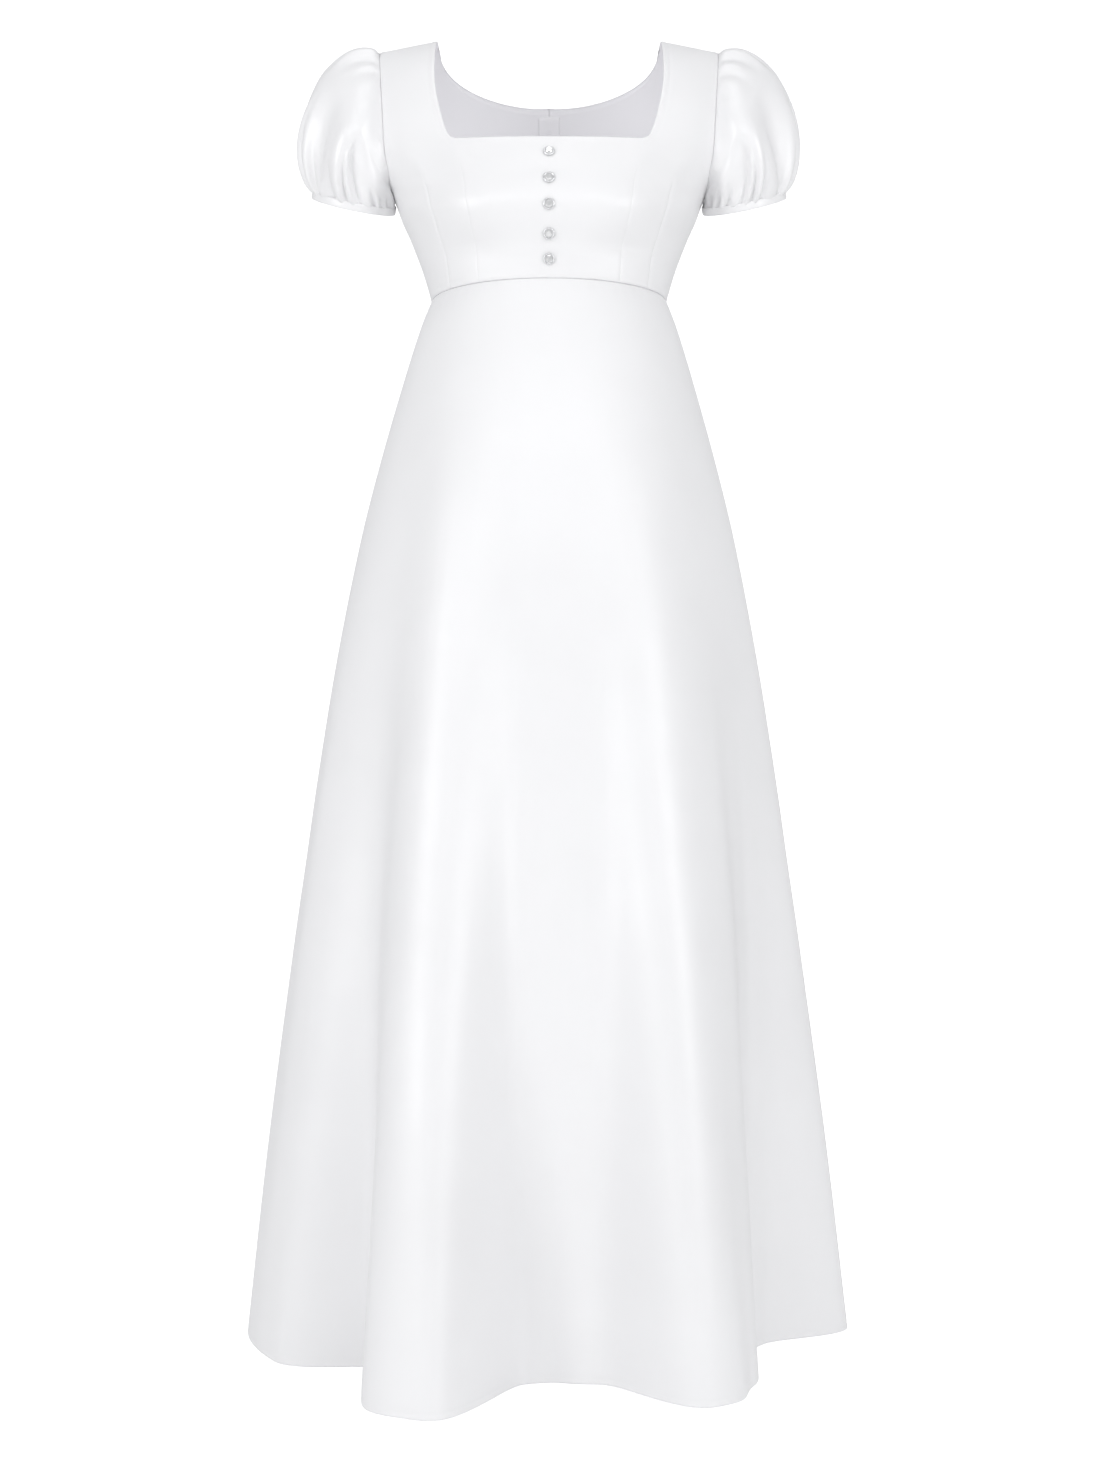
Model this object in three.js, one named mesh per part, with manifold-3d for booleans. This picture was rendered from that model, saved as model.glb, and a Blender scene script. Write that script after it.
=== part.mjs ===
// A floor-length Empire-line gown in heavy white satin, filled out as it is worn: a fitted bodice with
// a square neck and two darts under each cup, short puff sleeves gathered into narrow cuffs, five small
// cut-glass buttons, a concealed zip down the back, and a long skirt that falls in deep flutes from the
// raised waist seam.
// Millimetres, +Z up. The front faces -Y, and +X is on the right of the front view.
// The origin lies midway between the shoulders, level with the middle of the shoulder straps.
import * as THREE from "three";
import { mergeVertices } from "three/addons/utils/BufferGeometryUtils.js";
import Manifold from "manifold-3d";

const kernel = await Manifold();
kernel.setup();

// Driving dimensions.
const CLOTH = 1.8; // thickness of the satin wall
const SEAM_GAP = 0.3; // clearance between two pieces at a seam
const WAIST_DROP = 281; // from the shoulder line down to the raised waist seam
const WAIST_ARCH = 5; // rise of the waist seam at the middle of the front
const UNDERARM_DROP = 168; // from the shoulder line down to the foot of the armhole
const FRONT_NECK_DROP = 126; // from the shoulder line down to the square front neck
const BACK_NECK_DROP = 54; // from the shoulder line down to the middle of the scooped back neck
const BACK_NECK_SQUARE = 1.7; // exponent of the scoop: 2 is an ellipse
const FLOOR_DROP = 1408; // from the origin down to the hem
const NECK_POINT_X = 122; // where a shoulder strap meets the neck
const NECK_POINT_Z = 4.6;
const SHOULDER_SLOPE = 0.175; // fall of the shoulder line for each millimetre outwards
const SHOULDER_ROUND = { front: 110, back: 95 }; // height over which the straps curve over the shoulder
const SLOPE_FADE = 120; // drop at which the shoulder slope has died out

// Sections of the body of the bodice. The drop is measured from the shoulder line, half is the half
// width, front and back are the depths, and square is the exponent of the superellipse.
// Above the underarm the half width is that of the whole chest, arms included.
const BODICE_SECTIONS = [
  { drop: 0, half: 210, front: 94, back: 102, square: 2.4 },
  { drop: 37, half: 207, front: 98, back: 108, square: 2.4 },
  { drop: 97, half: 201, front: 104, back: 118, square: 2.45 },
  { drop: 124, half: 195, front: 111, back: 119, square: 2.5 },
  { drop: 150, half: 181, front: 124, back: 118, square: 2.5 },
  { drop: 168, half: 170, front: 132, back: 115, square: 2.5 },
  { drop: 193, half: 160.6, front: 137, back: 110, square: 2.5 },
  { drop: 211, half: 152.4, front: 136, back: 107, square: 2.5 },
  { drop: 246, half: 139, front: 124, back: 101, square: 2.35 },
  { drop: 281, half: 128.4, front: 116, back: 98, square: 2.25 },
];

// Share of the chest's half width at which the armhole edge lies.
const ARMHOLE_EDGE = [
  { drop: 0, share: 0.883 },
  { drop: 37, share: 0.882 },
  { drop: 97, share: 0.89 },
  { drop: 124, share: 0.908 },
  { drop: 141, share: 0.938 },
  { drop: 150, share: 0.956 },
  { drop: 160, share: 0.984 },
  { drop: 168, share: 1 },
];

// Distance from the middle to the side edge of the square neck.
const NECK_EDGE = [
  { drop: 0, x: 122 },
  { drop: 34, x: 122.7 },
  { drop: 60, x: 121.8 },
  { drop: 83, x: 118 },
  { drop: 103, x: 113 },
  { drop: 115, x: 109 },
  { drop: 122.5, x: 105 },
  { drop: 126, x: 99 },
];

// The two darts on each side of the front: their share of the half width at the waist seam and at the
// tip, and the drop of the tip.
const DARTS = {
  inner: { foot: 0.58, tip: 0.525, tipDrop: 150 },
  outer: { foot: 0.82, tip: 0.77, tipDrop: 160 },
};
const DART_DEPTH = 1.6;
const CUP = { x: 78, drop: 203, rise: 9, halfWidth: 48, halfHeight: 42 };

// Sections of the skirt without its folds.
const SKIRT_SECTIONS = [
  { drop: 281, half: 128.4, front: 116, back: 98, square: 2.25 },
  { drop: 310, half: 140.2, front: 124, back: 108, square: 2.25 },
  { drop: 365, half: 157.9, front: 140, back: 128, square: 2.2 },
  { drop: 453, half: 183.7, front: 161, back: 157, square: 2.15 },
  { drop: 541, half: 206.3, front: 180, back: 182, square: 2.1 },
  { drop: 673, half: 233, front: 205, back: 212, square: 2.1 },
  { drop: 805, half: 254.7, front: 226, back: 236, square: 2.05 },
  { drop: 893, half: 267.3, front: 239, back: 250, square: 2.05 },
  { drop: 981, half: 280, front: 250, back: 262, square: 2.05 },
  { drop: 1201, half: 308.6, front: 272, back: 284, square: 2 },
  { drop: 1408, half: 331, front: 290, back: 300, square: 2 },
];

// Crests and hollows of the skirt's folds at the hem, once round from the back seam. The angle is
// in degrees from the middle of the front, lean is how much further round a fold lies at the top,
// and reach is the distance from the gown's axis.
const FOLDS = [
  { angle: -180, lean: 0, reach: 236 },
  { angle: -150, lean: 3, reach: 338 },
  { angle: -120, lean: 2, reach: 250 },
  { angle: -90, lean: 0, reach: 331 },
  { angle: -64, lean: -4, reach: 316 },
  { angle: -48, lean: -6, reach: 236 },
  { angle: -28, lean: -8, reach: 358 },
  { angle: -17, lean: -10, reach: 360 },
  { angle: -8, lean: -6, reach: 217 },
  { angle: 0, lean: 0, reach: 208 },
  { angle: 14, lean: 1, reach: 223 },
  { angle: 27, lean: -4, reach: 337 },
  { angle: 34, lean: -4, reach: 335 },
  { angle: 42, lean: -4, reach: 304 },
  { angle: 62, lean: 0, reach: 226 },
  { angle: 74, lean: 2, reach: 238 },
  { angle: 90, lean: 0, reach: 331 },
  { angle: 117, lean: -2, reach: 246 },
  { angle: 146, lean: -3, reach: 346 },
  { angle: 180, lean: 0, reach: 236 },
];
const SKIRT_GRID = { front: 38, back: 18, rows: 14 };
const EVEN_ANGLES = 0.3; // how far the grid's columns go from equal lengths of hem to equal angles
const FOLD_START = 0.12; // share of the skirt's length at which the folds begin to open
const FOLD_OPENING = 1.1; // exponent of their opening towards the hem: 1 is straight

// The sleeve cuff is a ring whose plane rises outwards and falls towards the front.
const CUFF = {
  centre: new THREE.Vector3(214.5, 0, -170.5),
  radius: 45.5,
  riseOut: 0.215,
  fallFront: 0.31,
  height: 9.2,
  thick: 2.8,
};
const CUFF_GATHERS = 18;
const CUFF_GATHER_DEPTH = 3;
const HEAD_GATHERS = 16;
const HEAD_GATHER_DEPTH = 2.4;
// How the sleeve cloth leaves the armhole and arrives at the cuff, at the top, front, underarm and back.
const PUFF = {
  top: { leave: [54, 0, 31], arrive: [45, 0, 60] },
  front: { leave: [26, -36, 2], arrive: [14, -40, 40] },
  under: { leave: [4, 0, -3], arrive: [1, 0, 4] },
  back: { leave: [26, 34, 2], arrive: [14, 38, 36] },
};

const BUTTONS = { drops: [145, 175.5, 203.5, 234.5, 261.5], radius: 6.2, height: 4.4, sides: 12 };
const ZIP = { foot: 560, tapeWidth: 24, tapeThick: 1, clear: 0.5 };
// The arch's legs stand at two places up the plate, and its top and wall are heights above the cloth.
const SLIDER = {
  drop: 74,
  width: 6,
  length: 11,
  thick: 1.6,
  archWidth: 1.8,
  legs: [3, 9],
  top: 5.2,
  wall: 1.2,
  stand: 0.2,
};
const PULL = { width: 6.4, length: 21, thick: 1.1, frame: 1.5, window: 5.6, bar: 1.2, up: 5.5, out: 2.8 };

const SATIN = { color: 0xf4f4f6, roughness: 0.38, metalness: 0 };
const BAND_SATIN = { color: 0xf1f1f4, roughness: 0.42, metalness: 0 };
const CUT_GLASS = { color: 0xc9cbd0, roughness: 0.12, metalness: 0.1 };
const ZIP_TAPE = { color: 0xe6e6ea, roughness: 0.8, metalness: 0 };
const ZIP_METAL = { color: 0xe9e9ec, roughness: 0.35, metalness: 0.4 };

const mix = (a, b, t) => a + (b - a) * t;
const ease = (t) => t * t * (3 - 2 * t);
const clamp01 = (t) => Math.min(1, Math.max(0, t));
const radians = THREE.MathUtils.degToRad;
const range = (count) => [...Array(count).keys()];

// A smooth curve through one column of a table whose drops rise: cubics, with slopes that come from
// the rows beside them.
function through(rows, column, at) {
  const last = rows.length - 1;
  const above = rows.findIndex((row) => row.drop > at);
  const k = above < 0 ? last - 1 : Math.max(0, above - 1);
  const slope = (i) => {
    const before = rows[Math.max(0, i - 1)];
    const after = rows[Math.min(last, i + 1)];
    return (after[column] - before[column]) / (after.drop - before.drop);
  };
  const [p, q] = [rows[k], rows[k + 1]];
  const span = q.drop - p.drop;
  const t = clamp01((at - p.drop) / span);
  return (
    mix(p[column], q[column], ease(t)) +
    span * slope(k) * t * (1 - t) ** 2 -
    span * slope(k + 1) * t * t * (1 - t)
  );
}

// Lift of the front near the waist seam, at a share of its half width and a drop.
function waistLift(share, drop) {
  const near = ease(clamp01(1 - Math.abs(drop - WAIST_DROP) / 90));
  return WAIST_ARCH * near * (1 - Math.min(1, Math.abs(share)) ** 2);
}

const shoulderLine = (x) => NECK_POINT_Z - SHOULDER_SLOPE * (Math.abs(x) - NECK_POINT_X);

// A point of the bodice at a share of the half width and a drop below the shoulder line. The section
// is a superellipse, and towards the shoulder line it closes over the shoulder like a quarter ellipse.
function bodicePoint(share, drop, side) {
  const half = through(BODICE_SECTIONS, "half", drop);
  const depth = through(BODICE_SECTIONS, side, drop);
  const square = through(BODICE_SECTIONS, "square", drop);
  const x = share * half;
  const rounding = Math.sqrt(1 - (1 - Math.min(1, drop / SHOULDER_ROUND[side])) ** 2);
  const across = (1 - Math.min(1, Math.abs(share)) ** square) ** (1 / square);
  let y = depth * across * rounding;
  if (side === "front") {
    const offX = (Math.abs(x) - CUP.x) / CUP.halfWidth;
    const offZ = (drop - CUP.drop) / CUP.halfHeight;
    y += CUP.rise * Math.exp(-(offX ** 2) - offZ ** 2) * clamp01((WAIST_DROP - drop) / CUP.halfHeight);
  }
  const slopeLeft = 1 - ease(clamp01(drop / SLOPE_FADE));
  const lift = side === "front" ? waistLift(share, drop) : 0;
  return new THREE.Vector3(x, side === "front" ? -y : y, shoulderLine(x) * slopeLeft - drop + lift);
}

const armShare = (drop) => (drop >= UNDERARM_DROP ? 1 : through(ARMHOLE_EDGE, "share", drop));

// A dart's share of the half width at a drop: straight from its foot at the waist seam to its tip.
function dartShare(dart, drop) {
  const up = clamp01((WAIST_DROP - drop) / (WAIST_DROP - dart.tipDrop));
  return mix(dart.foot, dart.tip, up);
}

// Equal steps of the angle of a superellipse, as shares of its half width, from one share to another.
function sharesBetween(from, to, fraction, square) {
  const angle = (share) => Math.asin(Math.min(1, share) ** (square / 2));
  return Math.sin(mix(angle(from), angle(to), fraction)) ** (2 / square);
}

// Drops of the grid rows, from the waist seam up to the shoulder line: even to the underarm, closer
// where the armhole turns and where the straps curve over the shoulder.
function rowDrops(corners, side) {
  const toUnderarm = range(6).map((k) => mix(WAIST_DROP, UNDERARM_DROP, k / 6));
  const armholeTurn = range(5).map((k) => UNDERARM_DROP - 1.6 * k * k);
  const upper = range(9).map((k) => SHOULDER_ROUND[side] * (1 - Math.cos(radians(80 - 10 * k))));
  return [...toUnderarm, ...armholeTurn, FRONT_NECK_DROP, ...corners, ...upper];
}

// The corners of the grid's quads as row and column numbers, without those that miss a point.
function quadsOf(grid, around) {
  const columns = grid[0].length;
  const last = around ? columns : columns - 1;
  return range(grid.length - 1)
    .flatMap((i) =>
      range(last).map((j) => [
        [i, j],
        [i, (j + 1) % columns],
        [i + 1, (j + 1) % columns],
        [i + 1, j],
      ]),
    )
    .filter((quad) => quad.every(([i, j]) => grid[i][j]));
}

// Unit outward normals at the points of a grid, weighted by the areas of the quads that meet there.
function normalsOf(grid, around = false) {
  const normals = grid.map((row) => row.map(() => new THREE.Vector3()));
  for (const quad of quadsOf(grid, around)) {
    const [a, b, c, d] = quad.map(([i, j]) => grid[i][j]);
    const facing = c.clone().sub(a).cross(d.clone().sub(b));
    quad.forEach(([i, j]) => normals[i][j].add(facing));
  }
  return normals.map((row) => row.map((normal) => normal.normalize()));
}

// Thickens a grid of outer points, with null where there is no cloth, into a closed wall. The inner
// points lie one thickness inside along the normals, or where innerFirstRow puts them.
function clothWall(grid, thick, { around = false, normals = normalsOf(grid, around), innerFirstRow } = {}) {
  const inner = grid.map((row, i) =>
    row.map((point, j) => point && point.clone().addScaledVector(normals[i][j], -thick)),
  );
  if (innerFirstRow) inner[0] = innerFirstRow;
  const positions = [];
  const put = (...points) => points.forEach((p) => positions.push(p.x, p.y, p.z));
  const face = (a, b, c, d) => put(a, b, c, a, c, d);
  const edges = new Map();
  for (const quad of quadsOf(grid, around)) {
    face(...quad.map(([i, j]) => grid[i][j]));
    face(...quad.map(([i, j]) => inner[i][j]).reverse());
    quad.forEach((from, k) => {
      const to = quad[(k + 1) % 4];
      if (!edges.delete(`${to}>${from}`)) edges.set(`${from}>${to}`, [from, to]);
    });
  }
  for (const [[i, j], [m, n]] of edges.values()) {
    face(grid[i][j], inner[i][j], inner[m][n], grid[m][n]);
  }
  return { geometry: shape(positions), outer: grid, inner, normals };
}

function shape(positions) {
  const geometry = new THREE.BufferGeometry();
  geometry.setAttribute("position", new THREE.Float32BufferAttribute(positions, 3));
  geometry.computeVertexNormals();
  return geometry;
}

// Turns the normals along a seam into the seam's own plane, so that two walls meet flat across it.
function squareTo(normals, axis) {
  for (const normal of normals) {
    normal[axis] = 0;
    normal.normalize();
  }
}

// Moves the points along a panel's edge half a seam gap back towards the points beside them.
function easeBack(edge, beside) {
  edge.forEach((point, k) => {
    if (!point || !beside[k]) return;
    point.addScaledVector(beside[k].clone().sub(point).normalize(), SEAM_GAP / 2);
  });
}

const columnOf = (grid, j) => grid.map((row) => row.at(j));
const mirrored = (grid) =>
  grid.map((row) => row.map((p) => p && new THREE.Vector3(-p.x, p.y, p.z)).reverse());

// The front panel, with a square neck: the middle columns stop at the neck edge, and the columns of
// each shoulder strap run on up to the shoulder seam. Two columns on each side follow the darts.
function bodiceFront() {
  const middle = [0, 0.2, 0.4, 0.6, 0.8];
  const strap = [0, 0.26, 0.52, 0.7, 0.86, 1];
  const grid = rowDrops([122.5, 116], "front").map((drop) => {
    const square = through(BODICE_SECTIONS, "square", drop);
    const half = through(BODICE_SECTIONS, "half", drop);
    const neck = through(NECK_EDGE, "x", Math.min(drop, FRONT_NECK_DROP)) / half;
    const atNeck = clamp01((DARTS.inner.tipDrop - drop) / (DARTS.inner.tipDrop - FRONT_NECK_DROP));
    const inner = drop < FRONT_NECK_DROP ? neck : mix(dartShare(DARTS.inner, drop), neck, atNeck);
    const edge = armShare(drop);
    const right = [
      ...middle.map((t) => (drop < FRONT_NECK_DROP ? null : sharesBetween(0, inner, t, square))),
      ...strap.map((t) => sharesBetween(inner, edge, t, square)),
    ];
    const dartColumns = { [middle.length]: DARTS.inner, [middle.length + 2]: DARTS.outer };
    const points = right.map((share, j) => {
      if (share === null) return null;
      const point = bodicePoint(share, drop, "front");
      const dart = dartColumns[j];
      const open = dart ? clamp01((drop - dart.tipDrop) / (WAIST_DROP - dart.tipDrop)) : 0;
      point.y += DART_DEPTH * Math.sin(Math.PI * Math.min(0.5, open));
      return point;
    });
    return [...mirrored([points.slice(1)])[0], ...points];
  });
  const normals = normalsOf(grid);
  squareTo([...columnOf(normals, 0), ...columnOf(normals, -1), ...normals.at(-1)], "y");
  easeBack(columnOf(grid, 0), columnOf(grid, 1));
  easeBack(columnOf(grid, -1), columnOf(grid, -2));
  easeBack(grid.at(-1), grid.at(-2));
  return clothWall(grid, CLOTH, { normals });
}

// The right back panel, from the side seam to the middle of the back. Its neck edge is a scoop, so
// the columns inside the strap are shortened to meet it.
function bodiceBackHalf() {
  const strap = [0, 0.2, 0.4, 0.65, 1];
  const middle = [0.16, 0.34, 0.52, 0.7, 0.86, 1];
  const inner = NECK_POINT_X / through(BODICE_SECTIONS, "half", 0);
  const grid = rowDrops([], "back").map((row) => {
    const square = through(BODICE_SECTIONS, "square", row);
    const strapPoints = strap.map((t) => {
      const share = sharesBetween(armShare(row), inner, t, square);
      return bodicePoint(share, row, "back");
    });
    const middlePoints = middle.map((t) => {
      const share = sharesBetween(inner, 0, t, square);
      const neckDrop = BACK_NECK_DROP * Math.sqrt(1 - (share / inner) ** BACK_NECK_SQUARE);
      return bodicePoint(share, neckDrop + row * (1 - neckDrop / WAIST_DROP), "back");
    });
    return [...strapPoints, ...middlePoints];
  });
  const normals = normalsOf(grid);
  squareTo([...columnOf(normals, 0), ...normals.at(-1).slice(0, strap.length)], "y");
  squareTo(columnOf(normals, -1), "x");
  easeBack(columnOf(grid, 0), columnOf(grid, 1));
  easeBack(columnOf(grid, -1), columnOf(grid, -2));
  easeBack(grid.at(-1).slice(0, strap.length), grid.at(-2));
  return { grid, normals };
}

const skirtLength = FLOOR_DROP - WAIST_DROP;

// Distance from the axis to the skirt at an angle from the middle of the front and a drop. The plain
// section is a superellipse, and the folds add their crests and hollows more and more towards the hem.
function skirtReach(angle, drop) {
  const side = Math.abs(angle) <= 90 ? "front" : "back";
  const plain = (at) => {
    const square = through(SKIRT_SECTIONS, "square", at);
    const across = Math.sin(radians(angle)) / through(SKIRT_SECTIONS, "half", at);
    const along = Math.cos(radians(angle)) / through(SKIRT_SECTIONS, side, at);
    return (Math.abs(across) ** square + Math.abs(along) ** square) ** (-1 / square);
  };
  const share = (drop - WAIST_DROP) / skirtLength;
  const open = clamp01((share - FOLD_START) / (1 - FOLD_START)) ** FOLD_OPENING;
  const placeOf = (fold) => fold.angle + fold.lean * (1 - share);
  const k = Math.max(1, FOLDS.findIndex((fold) => placeOf(fold) >= angle));
  const [before, after] = [FOLDS[k - 1], FOLDS[k]];
  const between = (angle - placeOf(before)) / (placeOf(after) - placeOf(before));
  const reach = mix(before.reach, after.reach, ease(between));
  return plain(drop) + (reach - plain(FLOOR_DROP)) * open;
}

function skirtPoint(angle, drop) {
  const reach = skirtReach(angle, drop);
  const x = reach * Math.sin(radians(angle));
  const lift = Math.abs(angle) < 90 ? waistLift(x / SKIRT_SECTIONS[0].half, drop) : 0;
  return new THREE.Vector3(x, -reach * Math.cos(radians(angle)), lift - drop);
}

// Angles that cut the hem between two angles into equal lengths, moved some way to equal angles.
function hemAngles(from, to, count) {
  const fine = range(361).map((k) => mix(from, to, k / 360));
  const along = [0];
  fine.slice(1).forEach((angle, k) => {
    const step = skirtPoint(angle, FLOOR_DROP).distanceTo(skirtPoint(fine[k], FLOOR_DROP));
    along.push(along[k] + step);
  });
  return range(count + 1).map((k) => {
    const wanted = (along.at(-1) * k) / count;
    const i = Math.min(359, Math.max(0, along.findIndex((length) => length > wanted) - 1));
    const between = (wanted - along[i]) / (along[i + 1] - along[i]);
    const found = k === count ? to : mix(fine[i], fine[i + 1], between);
    return mix(found, mix(from, to, k / count), EVEN_ANGLES);
  });
}

// The three skirt panels are cut from one grid round the whole skirt, starting at the back seam.
function skirtPanels() {
  const { back, front, rows } = SKIRT_GRID;
  const angles = [
    ...hemAngles(-180, -90, back).slice(0, -1),
    ...hemAngles(-90, 90, front).slice(0, -1),
    ...hemAngles(90, 180, back).slice(0, -1),
  ];
  const grid = range(rows + 1).map((i) => {
    const drop = mix(FLOOR_DROP, WAIST_DROP + SEAM_GAP, (i / rows) ** 0.94);
    return angles.map((angle) => skirtPoint(angle, drop));
  });
  const normals = normalsOf(grid, true);
  const cut = (from, to) => {
    const columns = range(to - from + 1).map((k) => (from + k) % angles.length);
    const panel = grid.map((row) => columns.map((j) => row[j].clone()));
    easeBack(columnOf(panel, 0), columnOf(panel, 1));
    easeBack(columnOf(panel, -1), columnOf(panel, -2));
    return clothWall(panel, CLOTH, { normals: normals.map((row) => columns.map((j) => row[j])) });
  };
  return {
    backLeft: cut(0, back),
    front: cut(back, back + front),
    backRight: cut(back + front, angles.length),
  };
}

// The armhole edge of the right side, from the shoulder point down the front and up the back again,
// as the outer and inner edges of the bodice walls.
function armholeLoop(front, back) {
  const rows = front.outer.length;
  const lastColumn = front.outer[0].length - 1;
  const turn = front.outer.findIndex((row) => row[lastColumn].z > -UNDERARM_DROP - 0.1);
  const backTurn = back.outer.findIndex((row) => row[0].z > -UNDERARM_DROP - 0.1);
  const edge = (face) => {
    const down = range(rows - turn).map((k) => front[face][rows - 1 - k][lastColumn]);
    const up = range(back.outer.length - backTurn).map((k) => back[face][backTurn + k][0]);
    const meet = (p, q) => p.clone().add(q).multiplyScalar(0.5);
    const shoulder = meet(down[0], up.at(-1));
    const underarm = meet(down.at(-1), up[0]);
    return { down: [shoulder, ...down.slice(1, -1), underarm], up: [underarm, ...up.slice(1, -1), shoulder] };
  };
  return { outer: edge("outer"), inner: edge("inner") };
}

// Cuts a chain of points into equal lengths and gives the same places on a second chain beside it.
function resample(chain, beside, count) {
  const along = [0];
  chain.slice(1).forEach((p, k) => along.push(along[k] + p.distanceTo(chain[k])));
  return range(count).map((k) => {
    const wanted = (along.at(-1) * k) / count;
    const i = Math.max(0, along.findIndex((length) => length > wanted) - 1);
    const t = (wanted - along[i]) / (along[i + 1] - along[i]);
    return [chain[i].clone().lerp(chain[i + 1], t), beside[i].clone().lerp(beside[i + 1], t)];
  });
}

const cuffAxis = new THREE.Vector3(-CUFF.riseOut, -CUFF.fallFront, 1).normalize();
const cuffOutwards = new THREE.Vector3(1, 0, CUFF.riseOut).normalize();
const cuffForwards = cuffOutwards.clone().cross(cuffAxis).normalize();

// A point of the cuff's ring: turn 0 is its outer end, a quarter turn its front.
function cuffPoint(turn, radius, up) {
  const angle = 2 * Math.PI * turn;
  return CUFF.centre
    .clone()
    .addScaledVector(cuffOutwards, radius * Math.cos(angle))
    .addScaledVector(cuffForwards, radius * Math.sin(angle))
    .addScaledVector(cuffAxis, up);
}

// The end slopes of a sleeve column that leaves the armhole at a turn: the four written for the top,
// front, underarm and back, weighted by the squares of the turn's cosine and sine.
function puffPull(which, c, s) {
  const shares = { top: c, front: s, under: -c, back: -s };
  const sum = new THREE.Vector3();
  for (const [part, share] of Object.entries(shares)) {
    sum.addScaledVector(new THREE.Vector3(...PUFF[part][which]), Math.max(0, share) ** 2);
  }
  return sum;
}

// How far a sleeve point stands out with the gathers above the cuff and at the sleeve head.
function gatherWave(turn, v, c) {
  const underarm = 1 - 0.85 * Math.max(0, -c) ** 2;
  const nearCuff = Math.sin(Math.PI * clamp01((v - 0.58) / 0.46)) * underarm;
  const nearHead = Math.sin(Math.PI * clamp01(v / 0.5)) * Math.max(0, c) ** 3;
  return (
    CUFF_GATHER_DEPTH * nearCuff * Math.cos(2 * Math.PI * CUFF_GATHERS * turn) +
    HEAD_GATHER_DEPTH * nearHead * Math.cos(2 * Math.PI * HEAD_GATHERS * turn)
  );
}

// The right puff sleeve: every column is a cubic from the armhole edge to the cuff, and small waves
// stand on it at the sleeve head and above the cuff, where the cloth is gathered.
function sleeve(front, back) {
  const half = 36;
  const rowsAt = [0, 0.09, 0.22, 0.38, 0.56, 0.72, 0.84, 0.93, 1];
  const loop = armholeLoop(front, back);
  const ring = [
    ...resample(loop.outer.down, loop.inner.down, half),
    ...resample(loop.outer.up, loop.inner.up, half),
  ];
  const count = ring.length;
  const onwards = ring.map(([outer, inner], k) => {
    const along = ring[(k + 1) % count][0].clone().sub(ring[(k + count - 1) % count][0]).normalize();
    return outer.clone().sub(inner).normalize().cross(along).multiplyScalar(SEAM_GAP * 1.5);
  });
  const start = ring.map(([outer], k) => outer.clone().add(onwards[k]));
  const innerStart = ring.map(([, inner], k) => inner.clone().add(onwards[k]));
  const column = start.map((from, k) => {
    const turn = k / count;
    const [c, s] = [Math.cos(2 * Math.PI * turn), Math.sin(2 * Math.PI * turn)];
    const to = cuffPoint(turn, CUFF.radius - 0.4, CUFF.height / 2 + SEAM_GAP);
    const leaving = from.clone().add(puffPull("leave", c, s));
    const arriving = to.clone().add(puffPull("arrive", c, s));
    const curve = new THREE.CubicBezierCurve3(from, leaving, arriving, to);
    return rowsAt.map((v) => {
      const point = curve.getPoint(v);
      const out = new THREE.Vector3(point.x - CUFF.centre.x + 12, point.y, 0);
      out.setZ(0.3 * Math.abs(c)).normalize();
      return v === 0 ? from.clone() : point.addScaledVector(out, gatherWave(turn, v, c));
    });
  });
  return { grid: rowsAt.map((v, i) => column.map((points) => points[i])), innerStart };
}

// A closed ring of cloth with a rounded section, sewn on below the gathers.
function cuffGeometry(side) {
  const [tall, deep] = [CUFF.height / 2, CUFF.thick / 2];
  const bevel = 0.8;
  const section = [
    [deep, -tall + bevel],
    [deep, tall - bevel],
    [deep - bevel, tall],
    [bevel - deep, tall],
    [-deep, tall - bevel],
    [-deep, bevel - tall],
    [bevel - deep, -tall],
    [deep - bevel, -tall],
  ];
  const turns = 40;
  const at = (k, [out, up]) => {
    const p = cuffPoint((k % turns) / turns, CUFF.radius + out, up);
    return new THREE.Vector3(side * p.x, p.y, p.z);
  };
  const positions = [];
  range(turns).forEach((k) =>
    section.forEach((corner, m) => {
      const next = section[(m + 1) % section.length];
      const quad = [at(k, corner), at(k + 1, corner), at(k + 1, next), at(k, next)];
      const [a, b, c, d] = side > 0 ? quad.reverse() : quad;
      [a, b, c, a, c, d].forEach((p) => positions.push(p.x, p.y, p.z));
    }),
  );
  return shape(positions);
}

// A cut-glass button: a rim, a sloped ring of facets and a flat table, turned about +Z.
function buttonGeometry() {
  const { radius, height, sides } = BUTTONS;
  const profile = [
    [0, 0],
    [radius * 0.8, 0],
    [radius, height * 0.2],
    [radius, height * 0.42],
    [radius * 0.86, height * 0.52],
    [radius * 0.5, height * 0.92],
    [0, height],
  ];
  const turned = profile.map(([r, z]) => new THREE.Vector2(r, z));
  return new THREE.LatheGeometry(turned, sides).rotateX(Math.PI / 2);
}

// The outward normal of the front at its middle line.
function frontNormal(drop) {
  const step = 4;
  const along = bodicePoint(0, drop - step, "front").sub(bodicePoint(0, drop + step, "front"));
  return new THREE.Vector3(1, 0, 0).cross(along).normalize();
}

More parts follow.
